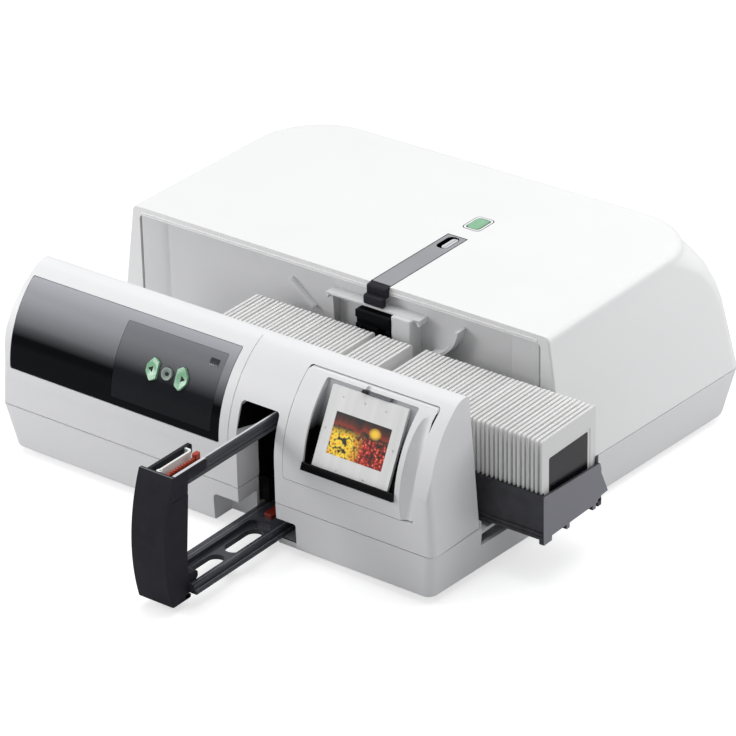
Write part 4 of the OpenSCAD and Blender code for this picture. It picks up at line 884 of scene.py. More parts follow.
@dataclass(frozen=True)
class MountPlastic:
    """The white plastic of the slide mounts, each mount a little different in tone."""

    colour: str = "#f4f4f3"
    pitch: float = 2.875
    start: float = -54.85625

    def build(self, effects: Effects) -> bpy.types.Material:
        """Build the material, with one tone for each place in the magazine.

        Args:
            effects: The shared node groups.

        Returns:
            The material.
        """
        material, tree, shader = blank("mount_white")
        place = add_node(tree, "TexCoord").outputs["Object"]
        parts = add_node(tree, "SeparateXYZ", {"Vector": place})
        step = Picture.blend(tree, "MULTIPLY_ADD", parts.outputs["X"], 1 / (self.pitch * MM),
            -self.start / self.pitch)
        number = Picture.blend(tree, "FLOOR", step)
        chance = add_node(tree, "TexWhiteNoise", {"W": number}, noise_dimensions="1D").outputs["Value"]
        tone = Picture.mask(tree, chance, -3.0, 1.0)
        tint = Picture.mix(tree, tone, shade("#cfcfce"), shade(self.colour))
        grain = add_node(tree, "Group", {"Place": place, "Colour": tint, "Grain Size": 1500.0,
            "Drift": 0.012, "Gloss": 0.38, "Gloss Drift": 0.06}, node_tree=effects.grain)
        bump = add_node(tree, "Bump", {"Strength": 0.08, "Distance": 0.03 * MM,
            "Height": grain.outputs["Height"]})
        tree.links.new(grain.outputs["Colour"], shader.inputs["Base Color"])
        tree.links.new(grain.outputs["Roughness"], shader.inputs["Roughness"])
        tree.links.new(bump.outputs["Normal"], shader.inputs["Normal"])
        return material


def build_finishes() -> dict[str, bpy.types.Material]:
    """Build every material and give them by name."""
    effects = Effects()
    finishes = {finish.name: finish.build(effects) for finish in FINISHES}
    finishes["mount_white"] = MountPlastic().build(effects)
    finishes["viewer_picture"] = Picture().build()
    return finishes


@dataclass(frozen=True)
class Assembly:
    """A sub-assembly of the scanner, with the finishes that dress its pieces."""

    finishes: dict[str, bpy.types.Material]

    def dress(self, piece: Piece, finish: str, body: str, *nodes: str, slot: str = "") -> Piece:
        """Give a new piece its finish and say what it rides on and stands for.

        Args:
            piece: The finished piece.
            finish: The name of its material.
            body: The body that it rides on.
            nodes: The CAD nodes that it stands for.
            slot: The record's slot, where its name differs from the finish's; not used.

        Returns:
            The piece.
        """
        piece.data.materials.clear()
        piece.data.materials.append(self.finishes[finish])
        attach(piece, body)
        if nodes:
            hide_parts(*nodes)
        LOG.info("%s: %s, %d faces, rides on %s", piece.name, finish, len(piece.data.polygons), body)
        return piece


# ---------------------------------------------------------------- studio


@dataclass(frozen=True)
class Studio:
    """The pale floor, the soft lamps and the camera."""

    azimuth: float = 37.684
    elevation: float = 27.849
    roll: float = -1.199
    focal_px: float = 3797.0
    across: float = -33.656
    up: float = 122.897
    distance: float = 1994.0
    fitted_origin: Point = (140.15625, -95.4, 4.0)
    image_px: int = 736
    sensor: float = 36.0
    sky: float = 0.36
    top_power: float = 15.4
    front_power: float = 2.85
    right_power: float = 1.85
    floor_lift: float = 0.62

    def camera(self) -> None:
        """Set up the camera where the photograph was taken from."""
        turn, rise, roll = (math.radians(v) for v in (self.azimuth, self.elevation, self.roll))
        back = Vector((
            math.sin(turn) * math.cos(rise), -math.cos(turn) * math.cos(rise), math.sin(rise)))
        right = Vector((math.cos(turn), math.sin(turn), 0.0))
        up = back.cross(right)
        right_r = right * math.cos(roll) + up * math.sin(roll)
        up_r = up * math.cos(roll) - right * math.sin(roll)
        eye = right_r * self.across + up_r * self.up + back * self.distance + Vector(self.fitted_origin)
        CASE.clear()
        bpy.ops.object.camera_add()
        camera = bpy.context.object
        frame_axes = Matrix((right_r, up_r, back)).transposed().to_4x4()
        camera.matrix_world = Matrix.Translation(eye * MM) @ frame_axes
        camera.data.sensor_width = self.sensor
        camera.data.lens = self.focal_px / self.image_px * self.sensor
        camera.data.clip_start = 0.1
        camera.data.clip_end = 60.0
        bpy.context.scene.camera = camera
        LOG.info("camera at %s", [round(v, 3) for v in camera.location])

    def floor(self) -> None:
        """Lay the floor: white where the camera sees it, but for the object's shadow."""
        CASE.clear()
        bpy.ops.mesh.primitive_plane_add(size=14, location=(0, 0, 0))
        floor = CASE.set_down("studio_floor")
        material, tree, shader = blank("studio_floor")
        output = next(n for n in tree.nodes if n.type == "OUTPUT_MATERIAL")
        shader.inputs["Base Color"].default_value = shade("#cfcfd0")
        shader.inputs["Roughness"].default_value = 0.9
        shader.inputs["Emission Color"].default_value = (1, 1, 1, 1)
        seen = add_node(tree, "LightPath").outputs["Is Camera Ray"]
        lift = add_node(tree, "Math", {0: seen, 1: self.floor_lift}, operation="MULTIPLY")
        tree.links.new(lift.outputs[0], shader.inputs["Emission Strength"])
        shader.inputs["Specular IOR Level"].default_value = 0.0
        tree.links.new(shader.outputs[0], output.inputs[0])
        floor.data.materials.append(material)

    def lamp(self, name: str, size: float, power: float, place: Point, target: Point) -> None:
        """Hang a soft square lamp.

        Args:
            name: The lamp's name.
            size: Its side, in metres.
            power: Its power, in watts.
            place: Where it hangs, in metres.
            target: What it points at, in metres.
        """
        CASE.clear()
        bpy.ops.object.light_add(type="AREA", location=place)
        lamp = bpy.context.object
        lamp.name = name
        lamp.data.shape = "SQUARE"
        lamp.data.size = size
        lamp.data.energy = power
        lamp.rotation_euler = (Vector(target) - Vector(place)).to_track_quat("-Z", "Y").to_euler()

    def light(self) -> None:
        """Set the even light of the sky and hang the lamps."""
        world = bpy.data.worlds.new("studio_sky")
        bpy.context.scene.world = world
        world.use_nodes = True
        tree = world.node_tree
        tree.nodes.clear()
        output = tree.nodes.new("ShaderNodeOutputWorld")
        paths = tree.nodes.new("ShaderNodeLightPath")
        seen = add_node(tree, "Background", {"Color": (1, 1, 1, 1), "Strength": 1.0})
        given = add_node(tree, "Background", {"Color": (0.98, 0.99, 1.0, 1), "Strength": self.sky})
        mix = add_node(tree, "MixShader", {0: paths.outputs["Is Camera Ray"], 1: given.outputs[0],
            2: seen.outputs[0]})
        tree.links.new(mix.outputs[0], output.inputs[0])
        self.lamp("lamp_top", 1.6, self.top_power, (-0.1, 0.25, 1.5), (0, 0, 0.05))
        self.lamp("lamp_front", 0.35, self.front_power, (-0.62, -0.6, 0.42), (-0.05, -0.05, 0.05))
        self.lamp("lamp_right", 0.5, self.right_power, (0.55, 0.5, 0.45), (0.1, 0.1, 0.05))
        bpy.context.scene.view_settings.view_transform = "Standard"

    def build(self) -> None:
        """Set up everything round the object."""
        self.camera()
        self.floor()
        self.light()


# ---------------------------------------------------------------- the casing


@dataclass(frozen=True)
class BlockForm:
    """The low front block: an upright foot, a bowed face, a rounded crown and a leaning right end."""

    half: float = 150.75
    over: float = 1.2
    depth: float = 41.0
    seam: float = 30.0
    brow: float = 54.0
    bow_r: float = 60.5
    bow_a: float = 58.7
    crown_r: float = 16.0
    rear_r: float = 3.0
    corner_r: float = 5.0
    lean_in: float = 6.0
    left_in: float = 6.5
    bow_steps: int = 28
    crown_steps: int = 9
    rear_steps: int = 5
    corner_sides: int = 64

    def bow_end(self) -> Span:
        """Give where the bow meets the crown, as y and z."""
        turn = math.radians(self.bow_a)
        return self.bow_r * (1 - math.cos(turn)), self.brow + self.bow_r * math.sin(turn)

    def crown(self) -> Span:
        """Give the crown's centre, as y and z."""
        turn = math.radians(self.bow_a)
        y, z = self.bow_end()
        return y + self.crown_r * math.cos(turn), z - self.crown_r * math.sin(turn)

    def top(self) -> float:
        """Give the height of the crown's top."""
        return self.crown()[1] + self.crown_r

    def face_y(self, z: float) -> float:
        """Give how far back the face is at a height.

        Args:
            z: The height.

        Returns:
            The face's y.
        """
        if z <= self.brow:
            return 0.0
        return self.bow_r - math.sqrt(self.bow_r ** 2 - (z - self.brow) ** 2)

    def face_lean(self, z: float) -> float:
        """Give how far the face leans back at a height, in degrees."""
        return 0.0 if z <= self.brow else math.degrees(math.asin((z - self.brow) / self.bow_r))

    def outline(self, inset: float, x0: float, x1: float, z0: float,
            rear: float | None = None) -> Piece:
        """Sweep the block's outline between two ends.

        Args:
            inset: How far inside the block's skin the outline lies.
            x0: Its left end.
            x1: Its right end.
            z0: Its lower edge.
            rear: Its rear face, if not as far in as the rest.

        Returns:
            A closed solid.
        """
        CASE.clear()
        crown_y, crown_z = self.crown()
        top = self.top() - inset
        rear = self.depth - inset if rear is None else rear
        bpy.ops.mesh.primitive_plane_add(size=MM, location=CASE.at((x0 + x1) / 2, inset,
            (z0 + self.brow) / 2), rotation=(math.pi / 2, 0, 0))
        bpy.context.object.scale = (x1 - x0, self.brow - z0, 1)
        piece = CASE.set_down("outline")
        CASE.pick(piece, Kind.EDGES, along(Axis.X, lambda p: p.z > self.brow - 0.01))
        bpy.ops.mesh.spin(steps=self.bow_steps, angle=math.radians(self.bow_a),
            center=CASE.at(0, self.bow_r, self.brow), axis=(1, 0, 0))
        bpy.ops.mesh.spin(steps=self.crown_steps, angle=math.radians(90 - self.bow_a),
            center=CASE.at(0, crown_y, crown_z), axis=(1, 0, 0))
        self.pull(0, rear - self.rear_r - crown_y, 0)
        bpy.ops.mesh.spin(steps=self.rear_steps, angle=math.pi / 2,
            center=CASE.at(0, rear - self.rear_r, top - self.rear_r), axis=(1, 0, 0))
        self.pull(0, 0, -(top - self.rear_r - z0))
        CASE.leave()
        CASE.pick(piece, Kind.EDGES, along(Axis.X, lambda p: p.z < z0 + 0.01))
        bpy.ops.mesh.edge_face_add()
        CASE.leave()
        for end in (x0, x1):
            CASE.pick(piece, Kind.EDGES, lambda p, run, end=end: abs(p.x - end) < 0.01
                and abs(run.x) < 0.1)
            bpy.ops.mesh.edge_face_add()
            CASE.leave()
        return CASE.outward(piece)

    @staticmethod
    def pull(x: float, y: float, z: float) -> None:
        """Extrude the selected edge, in millimetres."""
        bpy.ops.mesh.extrude_region_move(TRANSFORM_OT_translate={"value": (x * MM, y * MM, z * MM)})

    def form(self, inset: float, z0: float, name: str = "form") -> Piece:
        """Build the block's whole form, set in from its skin.

        Args:
            inset: How far in.
            z0: Its lower edge.
            name: The piece's name.

        Returns:
            A closed solid.
        """
        left, right = -self.half + inset, self.half + self.over - inset
        piece = self.outline(inset, left, right, z0)
        piece.name = piece.data.name = name
        for end, side, lean_in in ((left, -1, self.left_in), (right, 1, self.lean_in)):
            lean = math.atan(lean_in / (self.top() - self.seam))
            CASE.pick(piece, Kind.FACES, everywhere)
            bpy.ops.mesh.bisect(plane_co=CASE.at(end, 0, self.seam), plane_no=(side * math.cos(lean), 0,
                math.sin(lean)), use_fill=True, clear_outer=True)
            CASE.leave()
            inner = end - side * self.corner_r
            low, high = sorted((inner, end + side))
            tool = CASE.block((low, -2, z0 - 3), (high, inset + self.corner_r, ABOVE))
            pin = CASE.rod(Axis.Z, (inner, inset + self.corner_r, z0 - 5), ABOVE + 15, self.corner_r,
                self.corner_sides)
            CASE.turn(CASE.carve(tool, pin), Axis.Y, -side * math.degrees(lean), (end, 0, self.seam))
            CASE.carve(piece, tool)
        return piece

    def sheet(self, outer: float, inner: float, low: Span, high: Span, radius: float,
            name: str = "tool") -> Piece:
        """Build a sheet that follows the bowed face.

        Args:
            outer: The inset of its outer skin.
            inner: The inset of its inner skin.
            low: Its lower left corner, as x and z.
            high: Its upper right corner.
            radius: The radius of its corners.
            name: The piece's name.

        Returns:
            A closed solid.
        """
        piece = CASE.pad((low[0], -3, low[1]), (high[0], self.depth - 6, high[1]), radius, Axis.Y,
            name=name)
        CASE.trim(piece, self.outline(outer, low[0] - 1, high[0] + 1, self.seam))
        return CASE.carve(piece, self.outline(inner, low[0] - 3, high[0] + 3, self.seam - 2,
            self.depth + 4))


@dataclass(frozen=True)
class FrontBlock(Assembly):
    """The front block's cover, with the arm's slot, the viewer's opening and the fascia's bed."""

    form: BlockForm
    wall: float = 2.4
    slot: Span = ARM_SLOT
    slot_top: float = 81.75
    slot_r: float = 2.5
    tunnel: float = 2.0
    bed: Opening = (1.55, (-141.9, 54.1), (8.7, 102.4), 1.0)
    key_hole: Opening = (8.0, (-47.3, 72.4), (-14.7, 90.0), 1.0)
    lamp_hole: Opening = (8.0, (-7.2, 91.6), (-0.8, 94.8), 0.5)
    viewer_hole: Opening = (8.0, (52.35, 46.6), (138.65, 104.4), 2.0)
    groove: Span = (14.75, 15.35)
    groove_depth: float = 0.55
    crease_z: float = 47.6
    crease_depth: float = 0.6

    def build(self) -> None:
        """Build the cover and dress it."""
        form = self.form
        cover = form.form(0.0, form.seam, name="front_cover_shell")
        core = form.form(self.wall, form.seam - 1)
        tunnel = CASE.block((self.slot[0] - self.tunnel, -5, form.seam - 5),
            (self.slot[1] + self.tunnel, form.depth + 5, self.slot_top + self.tunnel))
        CASE.carve(core, tunnel)
        CASE.carve(cover, core)
        CASE.carve(cover, CASE.pad((self.slot[0], -5, form.seam - 15),
            (self.slot[1], form.depth + 5, self.slot_top), self.slot_r, Axis.Y))
        for opening in (self.bed, self.key_hole, self.lamp_hole, self.viewer_hole):
            CASE.carve(cover, form.sheet(-1.0, *opening))
        # The thin groove beside the arm's slot follows the face to a set depth.
        line = CASE.block((self.groove[0], -3, form.seam - 3), (self.groove[1], form.depth - 8, ABOVE))
        CASE.trim(line, form.outline(-1.0, self.groove[0] - 1, self.groove[1] + 1, form.seam - 4))
        CASE.carve(line, form.outline(self.groove_depth, self.groove[0] - 2, self.groove[1] + 2,
            form.seam - 5))
        CASE.carve(cover, line)
        CASE.cut(cover, ((-form.half - 2, -2, form.seam - 2),
            (self.slot[0] - 4, self.crease_depth, self.crease_z)))
        CASE.soften(cover, 0.45)
        self.dress(cover, "shell_grey", "casing", "front_cover")


@dataclass(frozen=True)
class Fascia(Assembly):
    """The glossy fascia with its control plate, keys and indicator."""

    form: BlockForm
    low: Span = (-141.5, 54.5)
    high: Span = (8.3, 102.0)
    plate_low: Span = (-67.7, 59.0)
    plate_high: Span = (2.7, 98.0)
    thick: float = 1.55
    keys_x: float = -31.0
    keys_z: float = 81.2
    step: float = 10.4
    key_size: Span = (7.8, 13.6)
    round_key: float = 3.6
    point: float = 0.37
    tail: float = 0.16
    proud: float = 1.3
    reach: float = 4.2
    lamp_low: Span = (-7.2, 91.6)
    lamp_size: Span = (6.4, 3.2)

    def arrow(self, grow: float, w0: float, w1: float) -> Piece:
        """Build an arrow key's form about zero, pointing right.

        Args:
            grow: How much larger it is all round.
            w0: Its back.
            w1: Its face.

        Returns:
            The arrow.
        """
        wide, high = self.key_size
        piece = LOOSE.block((-wide / 2 - grow, -high / 2 - grow, w0),
            (wide / 2 + grow, high / 2 + grow, w1))
        LOOSE.pick(piece, Kind.FACES, everywhere)
        bpy.ops.mesh.bisect(plane_co=(0, 0, 0), plane_no=(1, 0, 0))
        LOOSE.leave()
        for side in (-1, 1):
            LOOSE.shift(piece, lambda p, side=side: p.x > 1 and p.y * side > 1,
                (0, -side * high * self.point, 0))
            LOOSE.shift(piece, lambda p, side=side: p.x < -1 and p.y * side > 1,
                (0, -side * high * self.tail, 0))
        return LOOSE.round_edges(piece, along(Axis.Z), 0.7, 4)

    def seat(self, piece: Piece, place: int) -> Piece:
        """Set a key's form on its place in the row.

        Args:
            piece: The form, about zero.
            place: Its place, from -1 to 1.

        Returns:
            The form on the bowed face.
        """
        if place < 0:
            LOOSE.turn(piece, Axis.Z, 180, (0, 0, 0))
        return CASE.settle(piece, (self.keys_x + place * self.step, self.form.face_y(self.keys_z),
            self.keys_z), self.form.face_lean(self.keys_z))

    def build_keys(self) -> None:
        """Build the three keys with their dished faces and raised marks."""
        for place, body in ((-1, "key_back"), (0, "key_select"), (1, "key_forward")):
            if place == 0:
                key = LOOSE.rod(Axis.Z, (0, 0, -self.reach),
                    self.reach + self.proud, self.round_key, 40)
                LOOSE.carve(key, LOOSE.ball((0, 0, self.proud + 5.4), 6.2))
                LOOSE.soften(key, 0.3, 3)
                mark = LOOSE.rod(Axis.Z, (0, 0, self.proud - 0.9), 0.75, 1.1, 24)
            else:
                key = self.arrow(0.0, -self.reach, self.proud)
                LOOSE.carve(key, LOOSE.ball((0.4, 0, self.proud + 16.5), 17.0))
                LOOSE.soften(key, 0.45, 3)
                mark = LOOSE.rod(Axis.Z, (0.6, 0, self.proud - 1.0), 0.85, 2.0, 3)
                LOOSE.turn(mark, Axis.Z, -90, (0.6, 0, 0))
            LOOSE.soften(mark, 0.12, 2)
            key.name, mark.name = f"{body}_cap", f"{body}_mark"
            self.seat(key, place)
            self.seat(mark, place)
            finish = "key_grey" if place == 0 else "key_green"
            self.dress(key, finish, body, body)
            self.dress(mark, "matt_black", body, slot="matt_black")

    def build(self) -> None:
        """Build the fascia, the plate, the keys and the indicator."""
        form = self.form
        panel = form.sheet(0.0, self.thick, self.low, self.high, 0.8, name="fascia_gloss")
        CASE.carve(panel, form.sheet(-1.0, 3.0, (self.plate_low[0] - 0.2, self.plate_low[1] - 0.2),
            (self.plate_high[0] + 0.2, self.plate_high[1] + 0.2), 0.8))
        CASE.soften(panel, 0.22)
        # The fascia's black turns light grey towards its top: a painted reflection.
        self.dress(panel, "fascia_black", "casing", "fascia_panel", slot="gloss_black")
        plate = form.sheet(0.06, self.thick, self.plate_low, self.plate_high, 0.6,
            name="control_plate_face")
        for place in (-1, 0, 1):
            hole = (self.arrow(0.3, -6.0, 4.0) if place else LOOSE.rod(Axis.Z, (0, 0, -6.0), 10.0,
                self.round_key + 0.3, 40))
            CASE.carve(plate, self.seat(hole, place))
        lamp_high = (self.lamp_low[0] + self.lamp_size[0], self.lamp_low[1] + self.lamp_size[1])
        CASE.carve(plate, form.sheet(-1.0, 3.0, self.lamp_low, lamp_high, 0.5))
        CASE.soften(plate, 0.2)
        # The plate's black turns grey towards its top: a painted reflection.
        self.dress(plate, "plate_black", "casing", "control_plate", slot="gloss_black")
        lens = form.sheet(-0.1, 1.2, (self.lamp_low[0] + 0.1, self.lamp_low[1] + 0.1),
            (lamp_high[0] - 0.1, lamp_high[1] - 0.1), 0.4, name="indicator_window")
        CASE.soften(lens, 0.2)
        self.dress(lens, "smoked_lens", "casing", "indicator_lens")
        self.build_keys()


@dataclass(frozen=True)
class Viewer(Assembly):
    """The slide viewer: its frame, its glossy bed with a lip, the slide, and the clip over it."""

    form: BlockForm
    low: Span = (52.75, 47.0)
    high: Span = (138.25, 104.0)
    recess_low: Span = (66.5, 56.0)
    recess_high: Span = (127.0, 102.0)
    seat_depth: float = 0.6
    seat_thick: float = 2.0
    lip: float = 4.8
    mount: float = 50.0
    mount_thick: float = 2.0
    film: Span = (36.0, 24.0)
    drop: float = 0.7
    groove_r: float = 4.8
    groove_z: float = 74.0
    groove_bend: float = 150.0
    gap: float = 0.35
    mount_high: float = 48.8
    picture: Span = (36.4, 23.0)

    def lean(self) -> float:
        """Give how far the bed leans back, in degrees."""
        rise = self.recess_high[1] - self.recess_low[1]
        return math.degrees(
            math.atan((self.form.face_y(self.recess_high[1]) - self.form.face_y(self.recess_low[1]))
            / rise))

    def middle(self) -> Point:
        """Give the middle of the bed."""
        return ((self.recess_low[0] + self.recess_high[0]) / 2,
            (self.form.face_y(self.recess_high[1]) + self.form.face_y(self.recess_low[1])) / 2,
            (self.recess_low[1] + self.recess_high[1]) / 2)

    def height(self) -> float:
        """Give the bed's height along its lean."""
        return (self.recess_high[1] - self.recess_low[1]) / math.cos(math.radians(self.lean()))

    def width(self) -> float:
        """Give the recess's width."""
        return self.recess_high[0] - self.recess_low[0]

    def set_in(self, piece: Piece) -> Piece:
        """Set a piece made about zero onto the bed."""
        return CASE.settle(piece, self.middle(), self.lean())

    def build_frame(self) -> None:
        """Build the bowed frame with its recess and finger groove."""
        form, wide, high = self.form, self.width(), self.height()
        low = (self.low[0] + self.gap, self.low[1] + self.gap)
        high_corner = (self.high[0] - self.gap, self.high[1] - self.gap)
        frame = form.sheet(-0.5, 3.0, low, high_corner, 1.7, name="viewer_frame_rim")
        back = form.sheet(1.0, 7.5, (self.high[0] - 2 * self.groove_r - 3, self.low[1] + 2),
            (self.high[0], self.high[1] - 2), 3.0)
        shell = self.set_in(LOOSE.block((-wide / 2 - 1.6, -high / 2 - 1.2, -self.seat_depth - 2),
            (wide / 2 + 1.6, high / 2 + 1.2, 17.4)))
        CASE.trim(shell, form.form(0.5, form.seam))
        CASE.fuse(frame, back, shell)
        hole = self.set_in(LOOSE.pad((-wide / 2, -high / 2, -30), (wide / 2, high / 2, 30), 1.2))
        CASE.carve(frame, hole)
        CASE.carve(frame, self.groove())
        # A thin black sheet along the frame's right edge is painted shade.
        shade_line = form.sheet(-0.45, 2.0, (self.high[0] - self.gap - 0.02, self.low[1] + 2.2),
            (self.high[0] - self.gap + 0.16, self.high[1] - 2.2), 0.05, name="viewer_edge_shade")
        CASE.carve(shade_line, self.groove())
        self.dress(shade_line, "guide_black", "casing", slot="matt_black")
        CASE.carve(frame, self.set_in(LOOSE.rod(Axis.Y, (-3.5, high / 2 - 1, 0.6), 9, 1.6, 32)))
        CASE.soften(frame, 0.5, 3)
        self.dress(frame, "shell_grey", "casing", "viewer_frame")

    def groove(self) -> Piece:
        """Give the bent tool of the finger groove, deepest at the frame's middle."""
        lean = math.radians(self.form.face_lean(self.groove_z))
        CASE.clear()
        bpy.ops.mesh.primitive_torus_add(location=CASE.at(self.high[0] - 3.2,
            self.form.face_y(self.groove_z) + self.groove_bend * math.cos(lean),
            self.groove_z - self.groove_bend * math.sin(lean)), rotation=(0, math.pi / 2, 0),
            major_radius=self.groove_bend * MM, minor_radius=self.groove_r * MM, major_segments=300,
            minor_segments=40)
        return CASE.set_down("groove")

    def build_bed(self) -> None:
        """Build the glossy bed with its lip, and the clip at its head."""
        wide, high, gap = self.width() / 2 - 0.2, self.height() / 2 - 0.2, 0.3
        front = 0.3 - self.seat_depth + self.mount_thick + 2.0
        mount_v = self.drop - self.height() / 2
        bed = LOOSE.block((-wide, -high, -self.seat_depth - self.seat_thick),
            (wide, high, -self.seat_depth), name="viewer_bed")
        LOOSE.fuse(bed, LOOSE.pad((-wide, -high, -self.seat_depth - 0.5),
            (wide, -high + self.lip - 0.2, front), 0.7, Axis.X, 3))
        LOOSE.cut(bed, ((-self.mount / 2 - gap, mount_v - 0.4, -self.seat_depth),
            (self.mount / 2 + gap, mount_v + self.lip + 2, front - 1.0)))
        middle_v = mount_v + self.mount / 2
        LOOSE.cut(bed, ((-self.film[0] / 2 - 1, middle_v - self.film[1] / 2 - 1, -9),
            (self.film[0] / 2 + 1, middle_v + self.film[1] / 2 + 1, 9)))
        LOOSE.soften(bed, 0.3)
        # The black of the bed and of its lining turns light grey towards the top: a painted reflection.
        self.dress(self.set_in(bed), "bed_black", "casing", "viewer_surround", slot="gloss_black")
        lining = LOOSE.block((-wide - 0.15, -high - 0.15, -self.seat_depth),
            (wide + 0.15, high + 0.15, 30), name="viewer_lining")
        LOOSE.cut(lining, ((-wide + 0.7, -high + 0.7, -9), (wide - 0.7, high - 0.7, 40)))
        self.set_in(lining)
        CASE.trim(lining, self.form.form(0.9, self.form.seam))
        self.dress(CASE.soften(lining, 0.1), "bed_black", "casing", slot="gloss_black")
        top_v = mount_v + self.mount_high + 0.3
        clip_high = self.height() / 2 - 0.2
        tab = LOOSE.block((-5.5, top_v, -self.seat_depth), (-1.5, clip_high, 3.4),
            name="viewer_clip_tab")
        LOOSE.carve(tab, LOOSE.rod(Axis.X, (-7, clip_high + 0.6, 4.0), 8, 1.6, 24))
        bar = LOOSE.block((-1.5, top_v, -self.seat_depth), (12.5, clip_high, 2.4))
        LOOSE.cut(bar, ((-1.0, top_v + 0.3, 2.1), (12.0, clip_high - 0.3, 3)))
        LOOSE.soften(tab, 0.25)
        bar.name = "viewer_clip_bar"
        self.dress(self.set_in(LOOSE.soften(bar, 0.2)), "rim_grey", "casing", slot="matt_black")
        self.dress(self.set_in(tab), "matt_black", "casing", "viewer_clip")

    def build_slide(self) -> None:
        """Build the framed slide with its dimples, and the picture in it."""
        half, mount_v = self.mount / 2, self.drop - self.height() / 2
        w0, w1 = 0.3 - self.seat_depth, 0.3 - self.seat_depth + self.mount_thick
        middle_v = mount_v + half - 0.9
        wide, tall = self.picture[0] / 2, self.picture[1] / 2
        slide = LOOSE.pad((-half, mount_v, w0), (half, mount_v + self.mount_high, w1), 1.2,
            name="viewer_slide_mount")
        window = LOOSE.pad((-wide, middle_v - tall, -5), (wide, middle_v + tall, 5), 0.4)
        LOOSE.carve(slide, window)
        for u, v in ((-16, 43.5), (-2, 43.8), (12, 43.4), (-22.3, 25), (22.3, 25), (-9, 4.8), (9, 4.8)):
            LOOSE.carve(slide, LOOSE.rod(Axis.Z, (u, mount_v + v, w1 - 0.45), 2, 0.7, 20, 0.9))
        LOOSE.soften(slide, 0.15)
        self.dress(self.set_in(slide), "mount_white", "viewer_slide", "viewer_mount")
        film = LOOSE.block((-wide + 0.05, middle_v - tall + 0.05, w0 + 1.2),
            (wide - 0.05, middle_v + tall - 0.05, w0 + 1.6), name="viewer_picture_film")
        LOOSE.soften(film, 0.05, 1)
        self.dress(self.set_in(film), "viewer_picture", "viewer_slide", "viewer_film", slot="film")

    def build(self) -> None:
        """Build the whole viewer."""
        self.build_frame()
        self.build_bed()
        self.build_slide()


@dataclass(frozen=True)
class Ring:
    """One level of a lofted shell: four corners, each with its radius, from front left."""

    z: float
    corners: tuple[tuple[float, float, float], ...]

    def build(self, steps: int) -> Piece:
        """Build the level as a flat outline.

        Args:
            steps: Segments of each corner.

        Returns:
            The outline, one face.
        """
        CASE.clear()
        bpy.ops.mesh.primitive_plane_add(size=MM, location=CASE.at(0, 0, self.z))
        ring = CASE.set_down("ring")
        signs = ((-1, -1), (1, -1), (1, 1), (-1, 1))
        for (sx, sy), (x, y, _) in zip(signs, self.corners):
            CASE.shift(ring, lambda p, sx=sx, sy=sy: abs(p.x - sx / 2) < 0.01
                and abs(p.y - sy / 2) < 0.01, (x - sx / 2, y - sy / 2, 0))
        for x, y, radius in self.corners:
            CASE.pick(ring, Kind.VERTS, lambda p, n, x=x, y=y: abs(p.x - x) < 0.01
                and abs(p.y - y) < 0.01)
            bpy.ops.mesh.bevel(offset=radius * MM, offset_type="OFFSET", segments=steps,
                affect="VERTICES")
            CASE.leave()
        return ring


def loft(rings: Sequence[Ring], steps: int = 10, name: str = "tool") -> Piece:
    """Bridge levels into one closed shell.

    Args:
        rings: Its levels, from the lowest up.
        steps: Segments of each corner.
        name: The piece's name.

    Returns:
        The closed shell.
    """
    pieces = [ring.build(steps) for ring in rings]
    shell = CASE.join(*pieces)
    shell.name = name
    shell.data.name = name
    CASE.pick(shell, Kind.FACES, everywhere)
    bpy.ops.mesh.delete(type="ONLY_FACE")
    CASE.leave()
    for low, high in zip(rings, rings[1:]):
        CASE.pick(shell, Kind.EDGES, lambda p, run, a=low.z, b=high.z: abs(run.z) < 0.01
            and (abs(p.z - a) < 0.001 or abs(p.z - b) < 0.001))
        bpy.ops.mesh.bridge_edge_loops()
        CASE.leave()
    for end in (rings[0].z, rings[-1].z):
        CASE.pick(shell, Kind.EDGES, lambda p, run, end=end: abs(run.z) < 0.01
            and abs(p.z - end) < 0.001)
        bpy.ops.mesh.edge_face_add()
        CASE.leave()
    return CASE.outward(shell)


